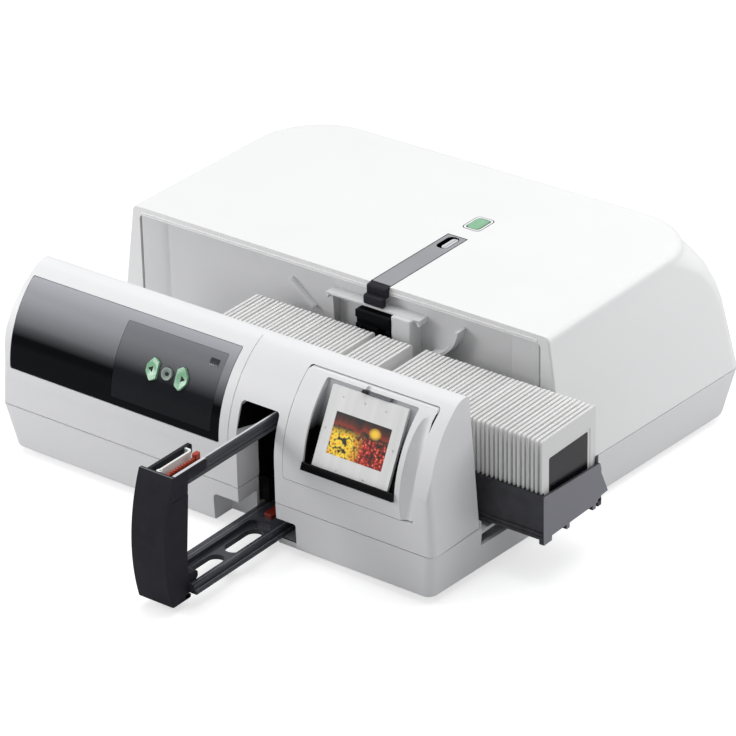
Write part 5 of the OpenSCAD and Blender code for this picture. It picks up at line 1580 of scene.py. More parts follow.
@dataclass(frozen=True)
class BaseShell(Assembly):
    """The foot of the casing: a tray that tucks in below, open for the arm and the magazine."""

    half: float = 150.75
    rear_half: float = 166.75
    depth: float = 281.0
    floor: float = 4.0
    top: float = 29.4
    wall: float = 2.4
    slot: Span = ARM_SLOT
    notch: Point = (3.0, 16.0, 21.0)
    mouth: Span = (59.8, 20.0)
    mouth_depth: float = 19.0
    channel_y: Span = (41.5, 112.0)
    sill: float = 19.0
    front_r: float = 5.4
    rear_r: float = 12.0
    runners_x: Span = (28.9, 45.9)
    runners_y: Span = (20.5, 139.5)

    def form(self, inset: float, grow: float, name: str = "tool") -> Piece:
        """Build the tray's solid form.

        Args:
            inset: How far it is set in from the skin.
            grow: How much taller it is.
            name: The piece's name.

        Returns:
            The solid.
        """
        rings = []
        front, rear = self.half - inset + 0.35, self.rear_half - inset + 0.3
        for z, front_in, rear_in, left_in, right_in in ((self.floor + inset, 1.0, 12.0, 8.0, 2.0),
                (self.top + grow, 0.0, 0.0, 0.0, 0.0)):
            y0, y1 = inset + front_in, self.depth - inset - rear_in
            rings.append(Ring(z, ((-front + left_in, y0, self.front_r),
                (front - right_in, y0, self.front_r), (rear - right_in, y1, self.rear_r),
                (-rear + left_in - 0.4, y1, self.rear_r))))
        return loft(rings, name=name)

    def build(self) -> None:
        """Build the base with its openings, ribs and bosses."""
        shell = self.form(0.0, 0.0, name="base_tray")
        CASE.round_edges(shell, lambda p, run: p.z < self.floor + 0.01, 1.6, 4)
        core = self.form(self.wall, 3.0)
        x0, x1 = self.slot
        # Cheeks stay on both sides of the arm's mouth, and round the notch beside it.
        CASE.cut(core, ((x0 - self.wall, -5, -5), (x0, 18.0, 40)))
        CASE.cut(core, ((x1, -5, -5), (x1 + self.wall, 18.0, 40)))
        CASE.cut(core, ((self.notch[0] - 2, -5, -5), (x0, self.notch[1] + 2, self.notch[2] + 2)))
        CASE.carve(shell, core)
        CASE.cut(shell, ((x0, -5, -5), (x1, self.mouth_depth, 40)))
        CASE.carve(shell, CASE.pad((self.notch[0], -5, -5), (x0 + 6, self.notch[1], self.notch[2]), 3.0,
            Axis.Y))
        CASE.carve(shell, CASE.pad((x0 + 3, -5, 7.6), (self.mouth[0], self.mouth_depth, self.mouth[1]),
            1.2, Axis.Y))
        CASE.cut(shell, ((x1 - 1, -5, -5), (self.mouth[0], 1.8, 9)))
        # The magazine's channel is open at both ends, and the rear for the panel.
        for side in (-1, 1):
            low, high = sorted((side * 100, side * 200))
            CASE.cut(shell, ((low, self.channel_y[0], self.sill), (high, self.channel_y[1], 40.0)))
        CASE.cut(shell, ((PANEL_GAP[0], self.depth - 24, self.sill),
            (PANEL_GAP[1], self.depth + 5, 40)))
        CASE.carve(shell, CASE.row(CASE.pad((-30, 200, -5), (-26, 240, 12), 1.9), 8, (8, 0, 0)))
        for places, deep, radius, sides in ((SCREWS, 9.5, 3.4, 32), (FEET, 8.8, 9.1, 40)):
            for x, y in places:
                CASE.carve(shell, CASE.rod(Axis.Z, (x, y, -4), deep, radius, sides))
        CASE.soften(shell, 0.35)
        y0, y1 = self.runners_y
        CASE.join(shell, *[CASE.soften(CASE.block((x - 1.5, y0, 6.0), (x + 1.5, y1, 8.1)), 0.3)
            for x in self.runners_x])
        self.dress(shell, "shell_grey", "casing", "base_shell")


@dataclass(frozen=True)
class RearCover(Assembly):
    """The tall rear cover: sides that lean in, a rounded top edge and a framed opening."""

    front_y: float = 114.0
    half: float = 157.24
    top: float = 110.0
    seam: float = 30.0
    wall: float = 2.4
    rim: float = 5.0
    rim_depth: float = 3.0
    drop: float = 3.0
    side_in: float = 11.0
    side_high: float = 74.0
    front_r: float = 1.2
    fold_angles: tuple[int, ...] = (20, 40, 58, 74, 90)
    fold_up: float = 6.0
    fold_in: tuple[float, ...] = (3.2, 4.2, 5.2, 2.0)
    table: tuple[tuple[float, float, float, float], ...] = ((30.0, 166.75, 281.0, 12.0),
        (50.0, 161.5, 280.5, 12.0), (70.0, 156.3, 280.0, 12.5), (80.0, 153.6, 279.6, 15.5),
        (90.0, 150.5, 279.0, 22.0), (97.0, 148.2, 278.2, 31.5), (104.0, 146.24, 277.0, 44.0))

    def side(self, z: float) -> float:
        """Give the front half width at a height."""
        return self.half - self.side_in * (z - self.seam) / self.side_high

    def rings(self, inset: float, front_y: float, fall: float) -> list[Ring]:
        """Give the levels of the cover, set in from its skin and lowered.

        Args:
            inset: How far in.
            front_y: The front face.
            fall: How much lower each level is.

        Returns:
            The levels from the seam to the top.
        """
        levels = [(z, self.side(z), rear, y, r) for z, rear, y, r in self.table]
        z0, front, rear, y, r = levels[-1]
        for turn in self.fold_angles:
            t = math.radians(turn)
            folded = [v - by * (1 - math.cos(t)) for v, by in zip((front, rear, y, r), self.fold_in)]
            levels.append((z0 + self.fold_up * math.sin(t), *folded))
        if inset:
            levels.insert(0, (levels[0][0] - 4, *levels[0][1:]))
        return [Ring(z - fall, ((-f + inset, front_y, self.front_r), (f - inset, front_y, self.front_r),
            (w - inset, y - inset, r), (-w + inset, y - inset, r))) for z, f, w, y, r in levels]

    def build(self) -> None:
        """Build the cover and dress it."""
        cover = loft(self.rings(0.0, self.front_y, 0.0), 12, name="rear_cover_shell")
        CASE.carve(cover, loft(self.rings(self.wall, self.front_y + self.rim_depth, self.drop), 12))
        reach = self.side(self.top) - self.rim
        CASE.carve(cover, CASE.pad((-reach, self.front_y - 5, -5),
            (reach, self.front_y + 20, self.top - self.rim), 2.5, Axis.Y))
        # The jam slider's bed and the power button's hole.
        CASE.cut(cover, ((26.1, self.front_y - 5, 108.3), (39.8, 187.1, 120)))
        CASE.carve(cover, CASE.pad((26.7, 198.2, 100), (39.2, 215.8, 120), 3.0))
        # The rear panel's opening, the vents beside it, and a screw post in each rear corner.
        CASE.cut(cover, ((PANEL_GAP[0], 269, 20), (PANEL_GAP[1], 290, 62.2)))
        CASE.carve(cover, CASE.row(CASE.pad((108, 269, 44), (111, 290, 64), 1.4, Axis.Y), 7, (6, 0, 0)))
        for x, y in SCREWS[2:]:
            CASE.fuse(cover, CASE.rod(Axis.Z, (x, y, 30.2), 76.0, 4.0, 32))
            CASE.carve(cover, CASE.rod(Axis.Z, (x, y, 20), 22.5, 1.75, 24))
        CASE.soften(cover, 0.6, 3)
        for z in (105.5, 106.8):
            for low, high in ((2 - reach, 25.8), (40.1, reach - 2)):
                CASE.join(cover, CASE.rod(Axis.X, (low, self.front_y - 0.1, z), high - low, 0.42, 16))
        self.dress(cover, "shell_light", "casing", "rear_cover")


@dataclass(frozen=True)
class Channel(Assembly):
    """The magazine's channel: a rear wall with shelf, rib and deflector, a floor and a port."""

    wall_half: float = 139.15
    wall_y: Span = (116.0, 118.4)
    wall_z: Span = (24.2, 104.7)
    shelf: Span = (-0.6, 64.0)
    shelf_y: float = 108.0
    shelf_z: float = 98.6
    lip_r: float = 3.2
    deflector: Span = (66.0, 102.0)
    floor_half: float = 151.75
    floor_y: Span = (41.8, 115.8)
    guide_z: Span = (26.2, 33.0)
    guide_t: float = 1.8
    rail_x: float = 40.55
    port: Span = (23.0, 46.3)
    port_y: Span = (104.0, 118.4)

    def build_wall(self) -> None:
        """Build the rear wall with all that stands on it."""
        (y0, y1), (z0, z1), (s0, s1) = self.wall_y, self.wall_z, self.shelf
        wall = CASE.block((-self.wall_half, y0, z0), (self.wall_half, y1, z1), name="channel_back")
        CASE.cut(wall, ((self.port[0] - 0.2, y0 - 4, 33.5), (self.port[1] + 0.2, y1 + 4, 96.2)))
        CASE.cut(wall, ((FEED_WINDOW[0], y0 - 4, 10), (FEED_WINDOW[1], y1 + 4, 33.1)))
        parts = []
        for side in (-1, 1):
            low, high = sorted((side * self.wall_half, side * (self.wall_half - 19)))
            pillar = CASE.block((low, y0 - 1.6, 33.1), (high, y0 + 0.1, z1))
            CASE.shift(pillar, lambda p, side=side: p.x * side < self.wall_half - 5 and p.y < y0 - 1,
                (side * 5, 0, 0))
            parts.append(CASE.soften(pillar, 0.5))
        deck = CASE.pad((s0, self.shelf_y, self.shelf_z - 1.4), (s1, y0 + 0.3, self.shelf_z), 1.0,
            Axis.Z, 4)
        parts.append(CASE.soften(deck, 0.35))
        # Each end of the shelf curls down round a core.
        for x, side in ((s0, 1), (s1, -1)):
            centre, z = x + side * self.lip_r, self.shelf_z - self.lip_r
            lip = CASE.rod(Axis.Y, (centre, self.shelf_y, z), y0 + 0.2 - self.shelf_y, self.lip_r, 48)
            CASE.carve(lip, CASE.rod(Axis.Y, (centre, self.shelf_y - 2, z), 20, self.lip_r - 1.4, 32))
            low, high = sorted((centre, x + side * 9))
            CASE.cut(lip, ((low, self.shelf_y - 3, 80), (high, y0 + 3, 110)),
                ((x - 9, self.shelf_y - 3, 80), (x + 9, y0 + 3, z - 0.4)))
            parts.append(CASE.soften(lip, 0.15))
        for x in (s0 + 2.2, s1 - 11):
            cheek = CASE.block((x, self.shelf_y + 1.5, 46), (x + 1.6, y0 + 0.3, self.shelf_z - 0.5))
            CASE.shift(cheek, lambda p: p.z < 50 and p.y < y0 - 2, (0, 3.5, 0))
            parts.append(CASE.soften(cheek, 0.35))
        rib = CASE.pad((-30.3, y0 - 4, 95), (-8.3, y0 + 0.3, 97), 0.9, Axis.Y, 4)
        parts.append(CASE.soften(CASE.turn(rib, Axis.Y, 38.6, (-30.3, y0, 96)), 0.25))
        # The deflector is a quarter of a ring.
        x, z = self.deflector
        ring = CASE.rod(Axis.Y, (x, self.shelf_y, z), y0 + 0.2 - self.shelf_y, 24, 96)
        CASE.carve(ring, CASE.rod(Axis.Y, (x, self.shelf_y - 3, z), 30, 22.2, 96))
        CASE.cut(ring, ((30, self.shelf_y - 3, z - 3), (120, y0 + 3, 140)),
            ((30, self.shelf_y - 3, 60), (x + 3, y0 + 3, 140)))
        parts.append(CASE.soften(ring, 0.4))
        parts.append(CASE.soften(CASE.block((46.6, 105.2, 58.6), (59.6, y0 + 0.3, self.shelf_z - 0.6)),
            0.8, 3))
        stud = CASE.rod(Axis.Y, (19.5, y0 - 1.8, 93.5), 2.0, 1.6, 24, 2.0)
        parts.append(CASE.soften(stud, 0.2))
        CASE.soften(wall, 0.3)
        CASE.join(wall, *parts)
        self.dress(wall, "wall_grey", "casing", "channel_wall")

    def build_floor(self) -> None:
        """Build the floor with its two guides."""
        half, (y0, y1), (z0, z1) = self.floor_half, self.floor_y, self.guide_z
        floor = CASE.block((-half, y0, 24.7), (half, y1, 26.7), name="channel_deck")
        CASE.cut(floor, ((ARM_SLOT[0], 40, 25.5), (ARM_SLOT[1], 45, 40)))
        parts = [CASE.soften(floor, 0.3)]
        for x0, x1, y in ((-half, ARM_SLOT[0], y0), (ARM_SLOT[1], half, y0),
                (-140.0, FEED_WINDOW[0], y1 - self.guide_t),
                (FEED_WINDOW[1], 140.0, y1 - self.guide_t)):
            parts.append(CASE.soften(CASE.block((x0, y, z0), (x1, y + self.guide_t, z1)), 0.4))
        for x in (-120, -60, -10, 100):
            parts.append(CASE.soften(CASE.block((x, 70, 6.4), (x + 3, 90, 25.2)), 0.3))
        CASE.join(*parts)
        self.dress(floor, "wall_grey", "casing", "channel_floor")

    def build_port(self) -> None:
        """Build the black port that takes the slide in."""
        (x0, x1), (y0, y1) = self.port, self.port_y
        port = CASE.block((x0, y0, 34.5), (x1, y1, 96.0), name="slide_port_body")
        CASE.cut(port, ((self.rail_x - 1.8, y0 - 3, 37.1), (self.rail_x + 1.8, y1 + 3, 87.9)))
        throat = CASE.block((self.rail_x - 3.3, y0 - 0.4, 37.1), (self.rail_x + 3.3, y0 + 2.6, 87.9))
        CASE.shift(throat, lambda p: p.y > y0 + 1 and p.x > self.rail_x, (-1.5, 0, 0))
        CASE.shift(throat, lambda p: p.y > y0 + 1 and p.x < self.rail_x, (1.5, 0, 0))
        CASE.carve(port, throat)
        CASE.cut(port, ((x0 - 2, y0 - 3, 87.5), (x1 + 2, y0 + 1.2, 91.5)))
        CASE.cut(port, ((x0 - 2, y0 - 3, 30), (x1 + 2, 110.9, 58.2)))
        parts = [CASE.soften(port, 0.5, 3)]
        for z in (92.6, 94.6):
            ridge = CASE.pad((x0 + 1.0, y0, z - 0.5), (x1 - 1.0, y0 + 1.2, z + 0.4), 0.35, Axis.X, 3)
            parts.append(CASE.soften(ridge, 0.0))
        CASE.join(*parts)
        self.dress(port, "gloss_black", "casing", "slide_port")

    def build(self) -> None:
        """Build the whole channel."""
        self.build_wall()
        self.build_floor()
        self.build_port()


@dataclass(frozen=True)
class TopControls(Assembly):
    """The slider that frees a jammed slide, and the power button."""

    x: Span = (26.4, 39.5)
    y: Span = (115.8, 186.8)
    z: Span = (108.4, 110.1)
    button: Span = (32.95, 207.0)
    cap: Point = (4.0, 6.55, 110.48)

    def build_slider(self) -> None:
        """Build the strip with its finger well, and the stepped hook at its front."""
        (x0, x1), (y0, y1), (z0, z1) = self.x, self.y, self.z
        middle = (x0 + x1) / 2
        strip = CASE.pad((x0 + 0.1, y0, z0), (x1 - 0.1, y1 - 0.1, z1), 0.4, Axis.Z, 4, name="jam_strip")
        CASE.carve(strip, CASE.pad((x0 + 2.6, y1 - 17.2, z1 - 1.2), (x1 - 2.6, y1 - 1.4, z1 + 3), 3.6,
            Axis.Z, 10))
        # Thin dark edges line the slider's bed on its left, right and rear: painted shade of the gap
        # round the strip.
        (w0, w1), rear, high = (x0 - 0.28, x1 + 0.28), y1 + 0.28, z1 + 0.05
        edges = [CASE.block((w0, y0 - 1, z0), (x0 + 0.06, rear, high)),
            CASE.block((x1 - 0.06, y0 - 1, z0), (w1, rear, high)),
            CASE.block((w0, y1 - 0.06, z0), (w1, rear, high))]
        CASE.join(*edges)
        edges[0].name = "jam_strip_edges"
        self.dress(edges[0], "guide_black", "casing", slot="matt_black")
        CASE.soften(strip, 0.2)
        self.dress(strip, "slider_grey", "jam_slider", "jam_slider_strip")
        # The black lining of the finger well is painted shade, and the pale patch on its floor is a
        # painted highlight.
        well = CASE.pad((x0 + 2.55, y1 - 17.25, z1 - 1.5), (x1 - 2.55, y1 - 1.35, z1 - 0.08), 3.6,
            Axis.Z, 10, name="jam_strip_well")
        CASE.carve(well, CASE.pad((x0 + 3.0, y1 - 16.8, z1 - 1.2), (x1 - 3.0, y1 - 1.8, z1 + 3), 3.2,
            Axis.Z, 10))
        painted_glint = CASE.pad((middle - 0.9, y1 - 15.6, z1 - 1.3), (x1 - 3.2, y1 - 2.4, z1 - 0.45), 2.2,
            Axis.Z, 8, name="jam_strip_grip")
        self.dress(CASE.soften(painted_glint, 0.25), "rim_white", "jam_slider", slot="matt_black")
        self.dress(well, "gloss_black", "jam_slider")
        hook = CASE.block((x0, 110.3, z0 - 4.4), (x1, 115.85, 109.9))
        CASE.cut(hook, ((x0 - 2, 113.7, 100), (x1 + 2, 118, z0)))
        lower = CASE.block((x0 + 0.2, 106.9, 99.2), (x1 - 0.2, 110.8, 105.0))
        CASE.round_edges(hook, along(Axis.X, lambda p: p.y < 110.4 and p.z > 109), 1.3, 5)
        CASE.round_edges(lower, along(Axis.X, lambda p: p.y < 107), 1.3, 5)
        CASE.soften(hook, 0.25)
        CASE.soften(lower, 0.25)
        CASE.join(hook, lower)
        hook.name = "jam_hook"
        self.dress(hook, "matt_black", "jam_slider", "jam_slider_hook")

    def build_button(self) -> None:
        """Build the bezel and the dished green button in it."""
        x, y = self.button
        bezel = CASE.pad((x - 5.75, y - 8.3, 106), (x + 5.75, y + 8.3, 110.15), 2.7, name="power_ring")
        CASE.carve(bezel, CASE.pad((x - 4.65, y - 7.2, 100), (x + 4.65, y + 7.2, 120), 2.4))
        CASE.soften(bezel, 0.2, 3)
        self.dress(bezel, "shell_light", "casing", "power_bezel", slot="smoked_lens")
        # Two thin rings are painted shade: a black one in the gap round the bezel, a dark green one in
        # the gap round the button.
        for ring, grow, finish, top in (("power_gap_ring", 5.8, "guide_black", 109.95),
                ("power_well_ring", 4.3, "key_dark", 109.8)):
            band = CASE.pad((x - grow - 0.4, y - grow - 2.95, 106.2),
                (x + grow + 0.4, y + grow + 2.95, top), grow - 2.7, name=ring)
            CASE.carve(band, CASE.pad((x - grow, y - grow - 2.55, 100),
                (x + grow, y + grow + 2.55, 120), grow - 3.0))
            self.dress(band, finish, "casing", slot="matt_black")
        wide, deep, top = self.cap
        button = CASE.pad((x - wide, y - deep, 103.0), (x + wide, y + deep, top), 1.9, name="power_cap")
        CASE.carve(button, CASE.rod(Axis.Y, (x, y - 20, 130.0), 40, 20, 96))
        CASE.soften(button, 0.35, 3)
        self.dress(button, "key_green", "power_button", "power_button")

    def build(self) -> None:
        """Build the slider and the button."""
        self.build_slider()
        self.build_button()


# ---------------------------------------------------------------- changer arm


@dataclass(frozen=True)
class ChangerArm(Assembly):
    """The arm that changes the slides, drawn out of the front, with its leaf, stop and lever."""

    body: str = "changer_arm"
    left: float = 22.5
    right: float = 45.0
    front: float = -90.2
    rear: float = -71.8
    low: float = 5.0
    top: float = 81.0
    bow: float = 115.0
    bow_z: float = 36.0
    front_wall: float = 11.1
    plate_z: float = 74.5
    plate_t: float = 2.0
    rail_x: float = 40.55
    rail_t: float = 2.8
    rail_z: Span = (69.6, 77.7)
    rail_end: float = 48.5
    frame_x: Span = (24.9, 49.9)
    frame_z: Span = (8.2, 13.6)
    frame_y: float = -79.2
    windows: tuple[Span, ...] = ((-69.0, -36.0), (-31.0, -3.0))
    tooth_y: float = -64.677
    teeth: int = 33
    lever_x: float = 37.45
    lever_y: float = -77.2
    lever_l: float = 27.0

    def handle(self) -> None:
        """Build the bowed handle: its hollow top, two side plates and the foot over the frame."""
        piece = CASE.block((self.left, self.front, self.low), (self.right, self.rear, self.top),
            name="arm_handle_shell")
        CASE.trim(piece, CASE.rod(Axis.X, (self.left - 5, self.front + self.bow, self.bow_z),
            self.right - self.left + 10, self.bow, sides=360))
        CASE.round_edges(piece, along(Axis.X, lambda p: p.z < self.low + 0.1 and p.y < self.front + 8),
            2.2, 6)
        swell = CASE.block((self.left, self.rear - 4, 33), (self.right, self.rear, 80))
        CASE.shift(swell, lambda p: p.y > self.rear - 1 and p.z > 70, (0, 3.9, 0))
        CASE.fuse(piece, swell)
        wall_y = self.front + self.front_wall
        CASE.cut(piece, ((self.left + 2, wall_y, 29), (self.right - 2, self.rear - 2, 90)),
            ((self.left - 1, wall_y, 74), (self.right - 2, self.rear + 6, 90)),
            ((self.right - 0.25, self.rear - 10, 66.5), (self.right + 1, self.rear + 6, 74.5)),
            ((self.left - 1, self.frame_y, self.frame_z[0]), (self.right - 0.8, self.rear + 1,
            self.frame_z[1])))
        inside = self.right - self.plate_t
        right_plate = CASE.block((inside, self.front + 10.5, self.plate_z),
            (self.right, -53.2, self.top))
        left_plate = CASE.block((self.left + 4, self.front + 10.5, self.plate_z),
            (self.left + 4 + self.plate_t, -45.2, self.top))
        for plate in (right_plate, left_plate):
            CASE.round_edges(plate, along(Axis.X, lambda p: p.y > -60), 1.6, 5)
        bridge = CASE.block((self.left + 1, self.lever_y - 3, 72.6),
            (self.right - 1, self.lever_y + 2, 74.7))
        foot = CASE.pad((self.right - 15, self.rear - 0.5, self.frame_z[1]), (self.right, -64.2, 19.2),
            2.4, Axis.X)
        hook = CASE.block((self.right - 15, self.rear - 3, self.low),
            (self.right, self.rear + 1.3, 7.6))
        CASE.round_edges(hook, along(Axis.X, lambda p: p.y > self.rear), 1.1, 4)
        CASE.fuse(piece, right_plate, left_plate, bridge, foot, hook)
        CASE.carve(piece, self.rail_block())
        pin = CASE.rod(Axis.Z, (self.lever_x, self.lever_y, 74.6), 4.0, 0.7, sides=24)
        CASE.soften(piece, 0.22, 2)
        CASE.join(piece, pin)
        self.dress(piece, "matt_black", self.body, "arm_handle")
        lining = CASE.block((self.left + 4.01 + self.plate_t, wall_y + 0.01, 74.72),
            (self.rail_x - self.rail_t / 2 - 3.8, wall_y + 0.5, self.top - 1.2),
            name="arm_handle_lining")
        self.dress(CASE.soften(lining, 0.1), "gloss_black", self.body, slot="matt_black")
        # Thin white strips along the right plate's top and the rail's top edge are painted highlights.
        bright = CASE.block((inside + 0.12, self.front + 11.4, self.top - 0.1),
            (self.right - 0.12, -53.6, self.top + 0.12), name="arm_bright_rims")
        edge = CASE.block((self.rail_x - self.rail_t / 2 + 0.1, -52.9, self.rail_z[1] - 0.1),
            (self.rail_x - 0.1, self.rail_end - 0.8, self.rail_z[1] + 0.1))
        CASE.join(bright, edge)
        self.dress(bright, "rim_white", self.body, slot="tray_grey")
        # Thin grey strips along the handle's crest and along the lower frame's grooves and step are
        # painted highlights.
        crest = self.front + self.bow - math.sqrt(self.bow ** 2 - (self.top - self.bow_z) ** 2)
        x0, x1 = self.frame_x
        z0, z1 = self.frame_z
        soft = [CASE.block((self.left + 0.2, crest + 0.25, self.top - 0.1),
            (self.right - 0.2, crest + 0.95, self.top + 0.08), name="arm_soft_rims")]
        for low, high, start, z in ((x1 - 3.3, x1 - 2.9, self.rear + 0.4, z1),
                (x0 + 1.4, x0 + 1.8, self.frame_y + 8, z1), (x1 - 1.2, x1 - 0.3, self.rear + 0.4,
                z0 + 2.2)):
            soft.append(CASE.block((low, start, z - 0.1), (high, self.rail_end - 0.8, z + 0.05)))
        CASE.join(*soft)
        self.dress(soft[0], "rim_grey", self.body, slot="tray_grey")

    def rail_block(self, name: str = "tool") -> Piece:
        """Give the upper rail's plain block.

        Args:
            name: Its name.

        Returns:
            The block.
        """
        half = self.rail_t / 2
        return CASE.block((self.rail_x - half, self.front + 9, self.rail_z[0]),
            (self.rail_x + half, self.rail_end, self.rail_z[1]), name)

    def upper_rail(self) -> None:
        """Build the rail that follows a slide into its slot, with two long grooves in each side."""
        piece = self.rail_block("arm_rail_upper")
        tools = []
        for side in (-1, 1):
            face = self.rail_x + side * self.rail_t / 2
            for low, high, deep in ((2.4, 3.1, 0.5), (5.2, 5.6, 0.35)):
                tools.append(CASE.block((face - deep, -55, self.rail_z[0] + low),
                    (face + deep, self.rail_end + 1, self.rail_z[0] + high)))
        CASE.carve(piece, *tools)
        CASE.round_edges(piece, along(Axis.Z, lambda p: p.y > self.rail_end - 0.2), 0.9, 4)
        self.dress(CASE.soften(piece, 0.3, 3), "rail_grey", self.body, "arm_upper_rail",
            slot="tray_grey")

    def lower_frame(self) -> None:
        """Build the lower frame: two windows, a sunk ledge round them, a step and the teeth."""
        x0, x1 = self.frame_x
        z0, z1 = self.frame_z
        piece = CASE.block((x0, self.frame_y, z0), (x1, self.rail_end, z1), name="arm_frame_lower")
        ledge = CASE.pad((x0 + 4.2, -73, z0 + 3), (x1 - 5, 1, z1 + 3), 4)
        windows = [CASE.pad((x0 + 7.8, near, z0 - 3), (x1 - 6.4, far, z1 + 3), 5.35, steps=12) for near,
            far in self.windows]
        step = CASE.block((x1 - 1.6, self.front, z0 + 2.2), (x1 + 1, self.rail_end + 1, z1 + 1))
        seam = CASE.block((x1 - 3.3, self.front, z1 - 0.35), (x1 - 2.9, self.rail_end + 1, z1 + 1))
        inner = CASE.block((x0 + 1.4, self.front, z1 - 0.3), (x0 + 1.8, self.rail_end + 1, z1 + 1))
        seat = CASE.block((33, 6, z1 - 1), (39, 18, z1 + 1))
        front_cut = CASE.block((44.15, self.front - 2, z0 - 2), (x1 + 3, self.rear + 0.2, z1 + 2))
        CASE.carve(piece, ledge, *windows, step, seam, inner, seat, front_cut)
        cover = CASE.block((x0 - 1.9, self.frame_y, z0 + 4), (x0 + 0.5, self.rail_end, z1))
        CASE.fuse(piece, cover)
        CASE.soften(piece, 0.28, 2)
        tooth = CASE.block((x0 - 1.75, self.tooth_y - 0.75, z0 + 0.3),
            (x0 + 0.1, self.tooth_y + 0.75, z0 + 4.1))
        CASE.shift(tooth, lambda p: p.x < x0 - 1 and p.y < self.tooth_y, (0, 0.4, 0))
        CASE.shift(tooth, lambda p: p.x < x0 - 1 and p.y > self.tooth_y, (0, -0.4, 0))
        rack = CASE.row(tooth, self.teeth, (0, math.pi, 0))
        CASE.join(piece, rack)
        self.dress(piece, "rail_grey", self.body, "arm_lower_frame", slot="tray_grey")
        stop = CASE.pad((33.1, 6.1, z1 - 1), (38.9, 17.9, z1 + 2.4), 1.2, name="arm_stop_block")
        self.dress(CASE.soften(stop, 0.5, 3), "stop_red", self.body, "arm_stop", slot="signal_red")

    def leaf(self) -> None:
        """Build the white leaf that steadies a slide's upper edge and hooks round to the left plate."""
        x0, thick, z0, z1 = self.rail_x - 8.4, 1.2, 75.0, 80.6
        end = self.front + 40
        piece = CASE.block((x0, self.front + 13, z0), (x0 + thick, end - 2.4, z1), name="arm_leaf")
        boss = CASE.rod(Axis.Z, (x0 + 1, self.front + 13, z0), z1 - z0, 1.6, sides=40)
        bend = CASE.rod(Axis.Z, (x0 - 1.2, end - 2.4, z0), z1 - z0, 2.4, sides=64)
        CASE.carve(bend, CASE.rod(Axis.Z, (x0 - 1.2, end - 2.4, z0 - 1), z1 - z0 + 2, 1.2, sides=64),
            CASE.block((x0 - 6, end - 8, z0 - 1), (x0 + 4, end - 2.4, z1 + 1)),
            CASE.block((x0 - 6, end - 8, z0 - 1), (x0 - 1.2, end + 4, z1 + 1)))
        tail = CASE.block((self.left + 4 + self.plate_t, end - thick, z0), (x0 - 1.1, end, z1))
        CASE.fuse(piece, boss, bend, tail)
        CASE.carve(piece,
            CASE.rod(Axis.Z, (x0 + 1.4, self.front + 13.4, z0 - 1), z1 - z0 + 2, 0.7, sides=24))
        self.dress(CASE.soften(piece, 0.2, 2), "leaf_white", self.body, "arm_slide_spring",
            slot="mount_white")

    def lever(self) -> None:
        """Build the red lever that loosens a slide, with a ribbed bar and a thick end."""
        x, y = self.lever_x, self.lever_y
        piece = CASE.rod(Axis.Z, (x, y, 75), 4, 1.7, sides=40, name="eject_lever_bar")
        bar = CASE.block((x - 0.8, y, 75), (x + 0.8, y + self.lever_l, 79))
        knob = CASE.pad((x - 1.6, y + self.lever_l - 4.2, 75), (x + 1.2, y + self.lever_l, 80.95), 0.7)
        CASE.fuse(piece, bar, knob)
        rib = CASE.block((x - 2, y + 3.2, 78.3), (x + 2, y + 4.2, 80))
        hole = CASE.rod(Axis.Z, (x, y, 74), 8, 0.78, sides=24)
        CASE.carve(piece, CASE.row(rib, 9, (0, 2.1, 0)), hole)
        self.dress(CASE.soften(piece, 0.16, 2), "signal_red", "eject_lever", "eject_lever")

    def build(self) -> None:
        """Build the whole arm."""
        self.handle()
        self.upper_rail()
        self.lower_frame()
        self.leaf()
        self.lever()


@dataclass(frozen=True)
class ArmGuide(Assembly):
    """The black guide behind the arm's slot: a shallow cup with a slit for the upper rail."""

    slot_x: Span = (20.8, 46.7)
    mouth_y: float = 18.6
    back_y: float = 46.4
    low: float = 27.0
    top: float = 81.65
    radius: float = 2.4
    wall: float = 0.4
    gear_room: tuple[Point, Point] = ((18.0, 19.0, 14.0), (26.9, 42.0, 29.5))
    slit_x: Span = (38.4, 42.7)
    slit_z: Span = (68.8, 78.6)

    def build(self) -> None:
        """Build the guide."""
        x0, x1 = self.slot_x
        piece = CASE.block((x0, self.mouth_y, self.low), (x1, self.back_y, self.top), name="arm_guide")
        room = CASE.block((x0 + self.wall, 10, self.low - 1), (x1 - self.wall, self.back_y - 1.6,
            self.top - self.wall))
        for form, radius in ((piece, self.radius), (room, self.radius - self.wall)):
            CASE.round_edges(form, along(Axis.Y, lambda p: p.z > 80), radius, 6)
        CASE.carve(piece, room)
        cover = CASE.block((x0, self.mouth_y, 15.2), (self.gear_room[1][0] + 0.5, 40.8, 30.0))
        CASE.carve(cover, CASE.block(*self.gear_room))
        plate = CASE.block((self.gear_room[1][0], 40.2, 16.6), (x1, 40.8, self.low + 0.5))
        CASE.fuse(piece, cover, plate)
        # A thin black cheek on the slot's left wall near its top is painted shade.
        cheek = CASE.block((x0 + 0.02, 1.7, 66), (x0 + 0.35, self.mouth_y + 0.2, 78.6))
        CASE.shift(cheek, lambda p: p.y < 5 and p.z > 70, (0, 4.6, 0))
        CASE.shift(cheek, lambda p: p.y > 15 and p.z < 70, (0, 0, -4))
        CASE.fuse(piece, cheek)
        # Thin black sheets that line the base's mouth beside the slot are painted shade.
        mouth_shade_sheets = [CASE.block(low, high) for low, high in (((47.0, 1.9, 4.4), (59.7, 2.3, 8.1)),
            ((59.45, 1.3, 7.7), (59.75, 18.9, 19.9)), ((50.3, 18.6, 7.7), (59.7, 18.95, 19.9)),
            ((50.3, 1.3, 19.6), (59.7, 18.9, 19.9)))]
        CASE.cut(piece, ((self.slit_x[0], 42, self.slit_z[0]), (self.slit_x[1], 50, self.slit_z[1])))
        CASE.soften(piece, 0.1)
        CASE.join(piece, *mouth_shade_sheets)
        self.dress(piece, "guide_black", "casing", slot="matt_black")


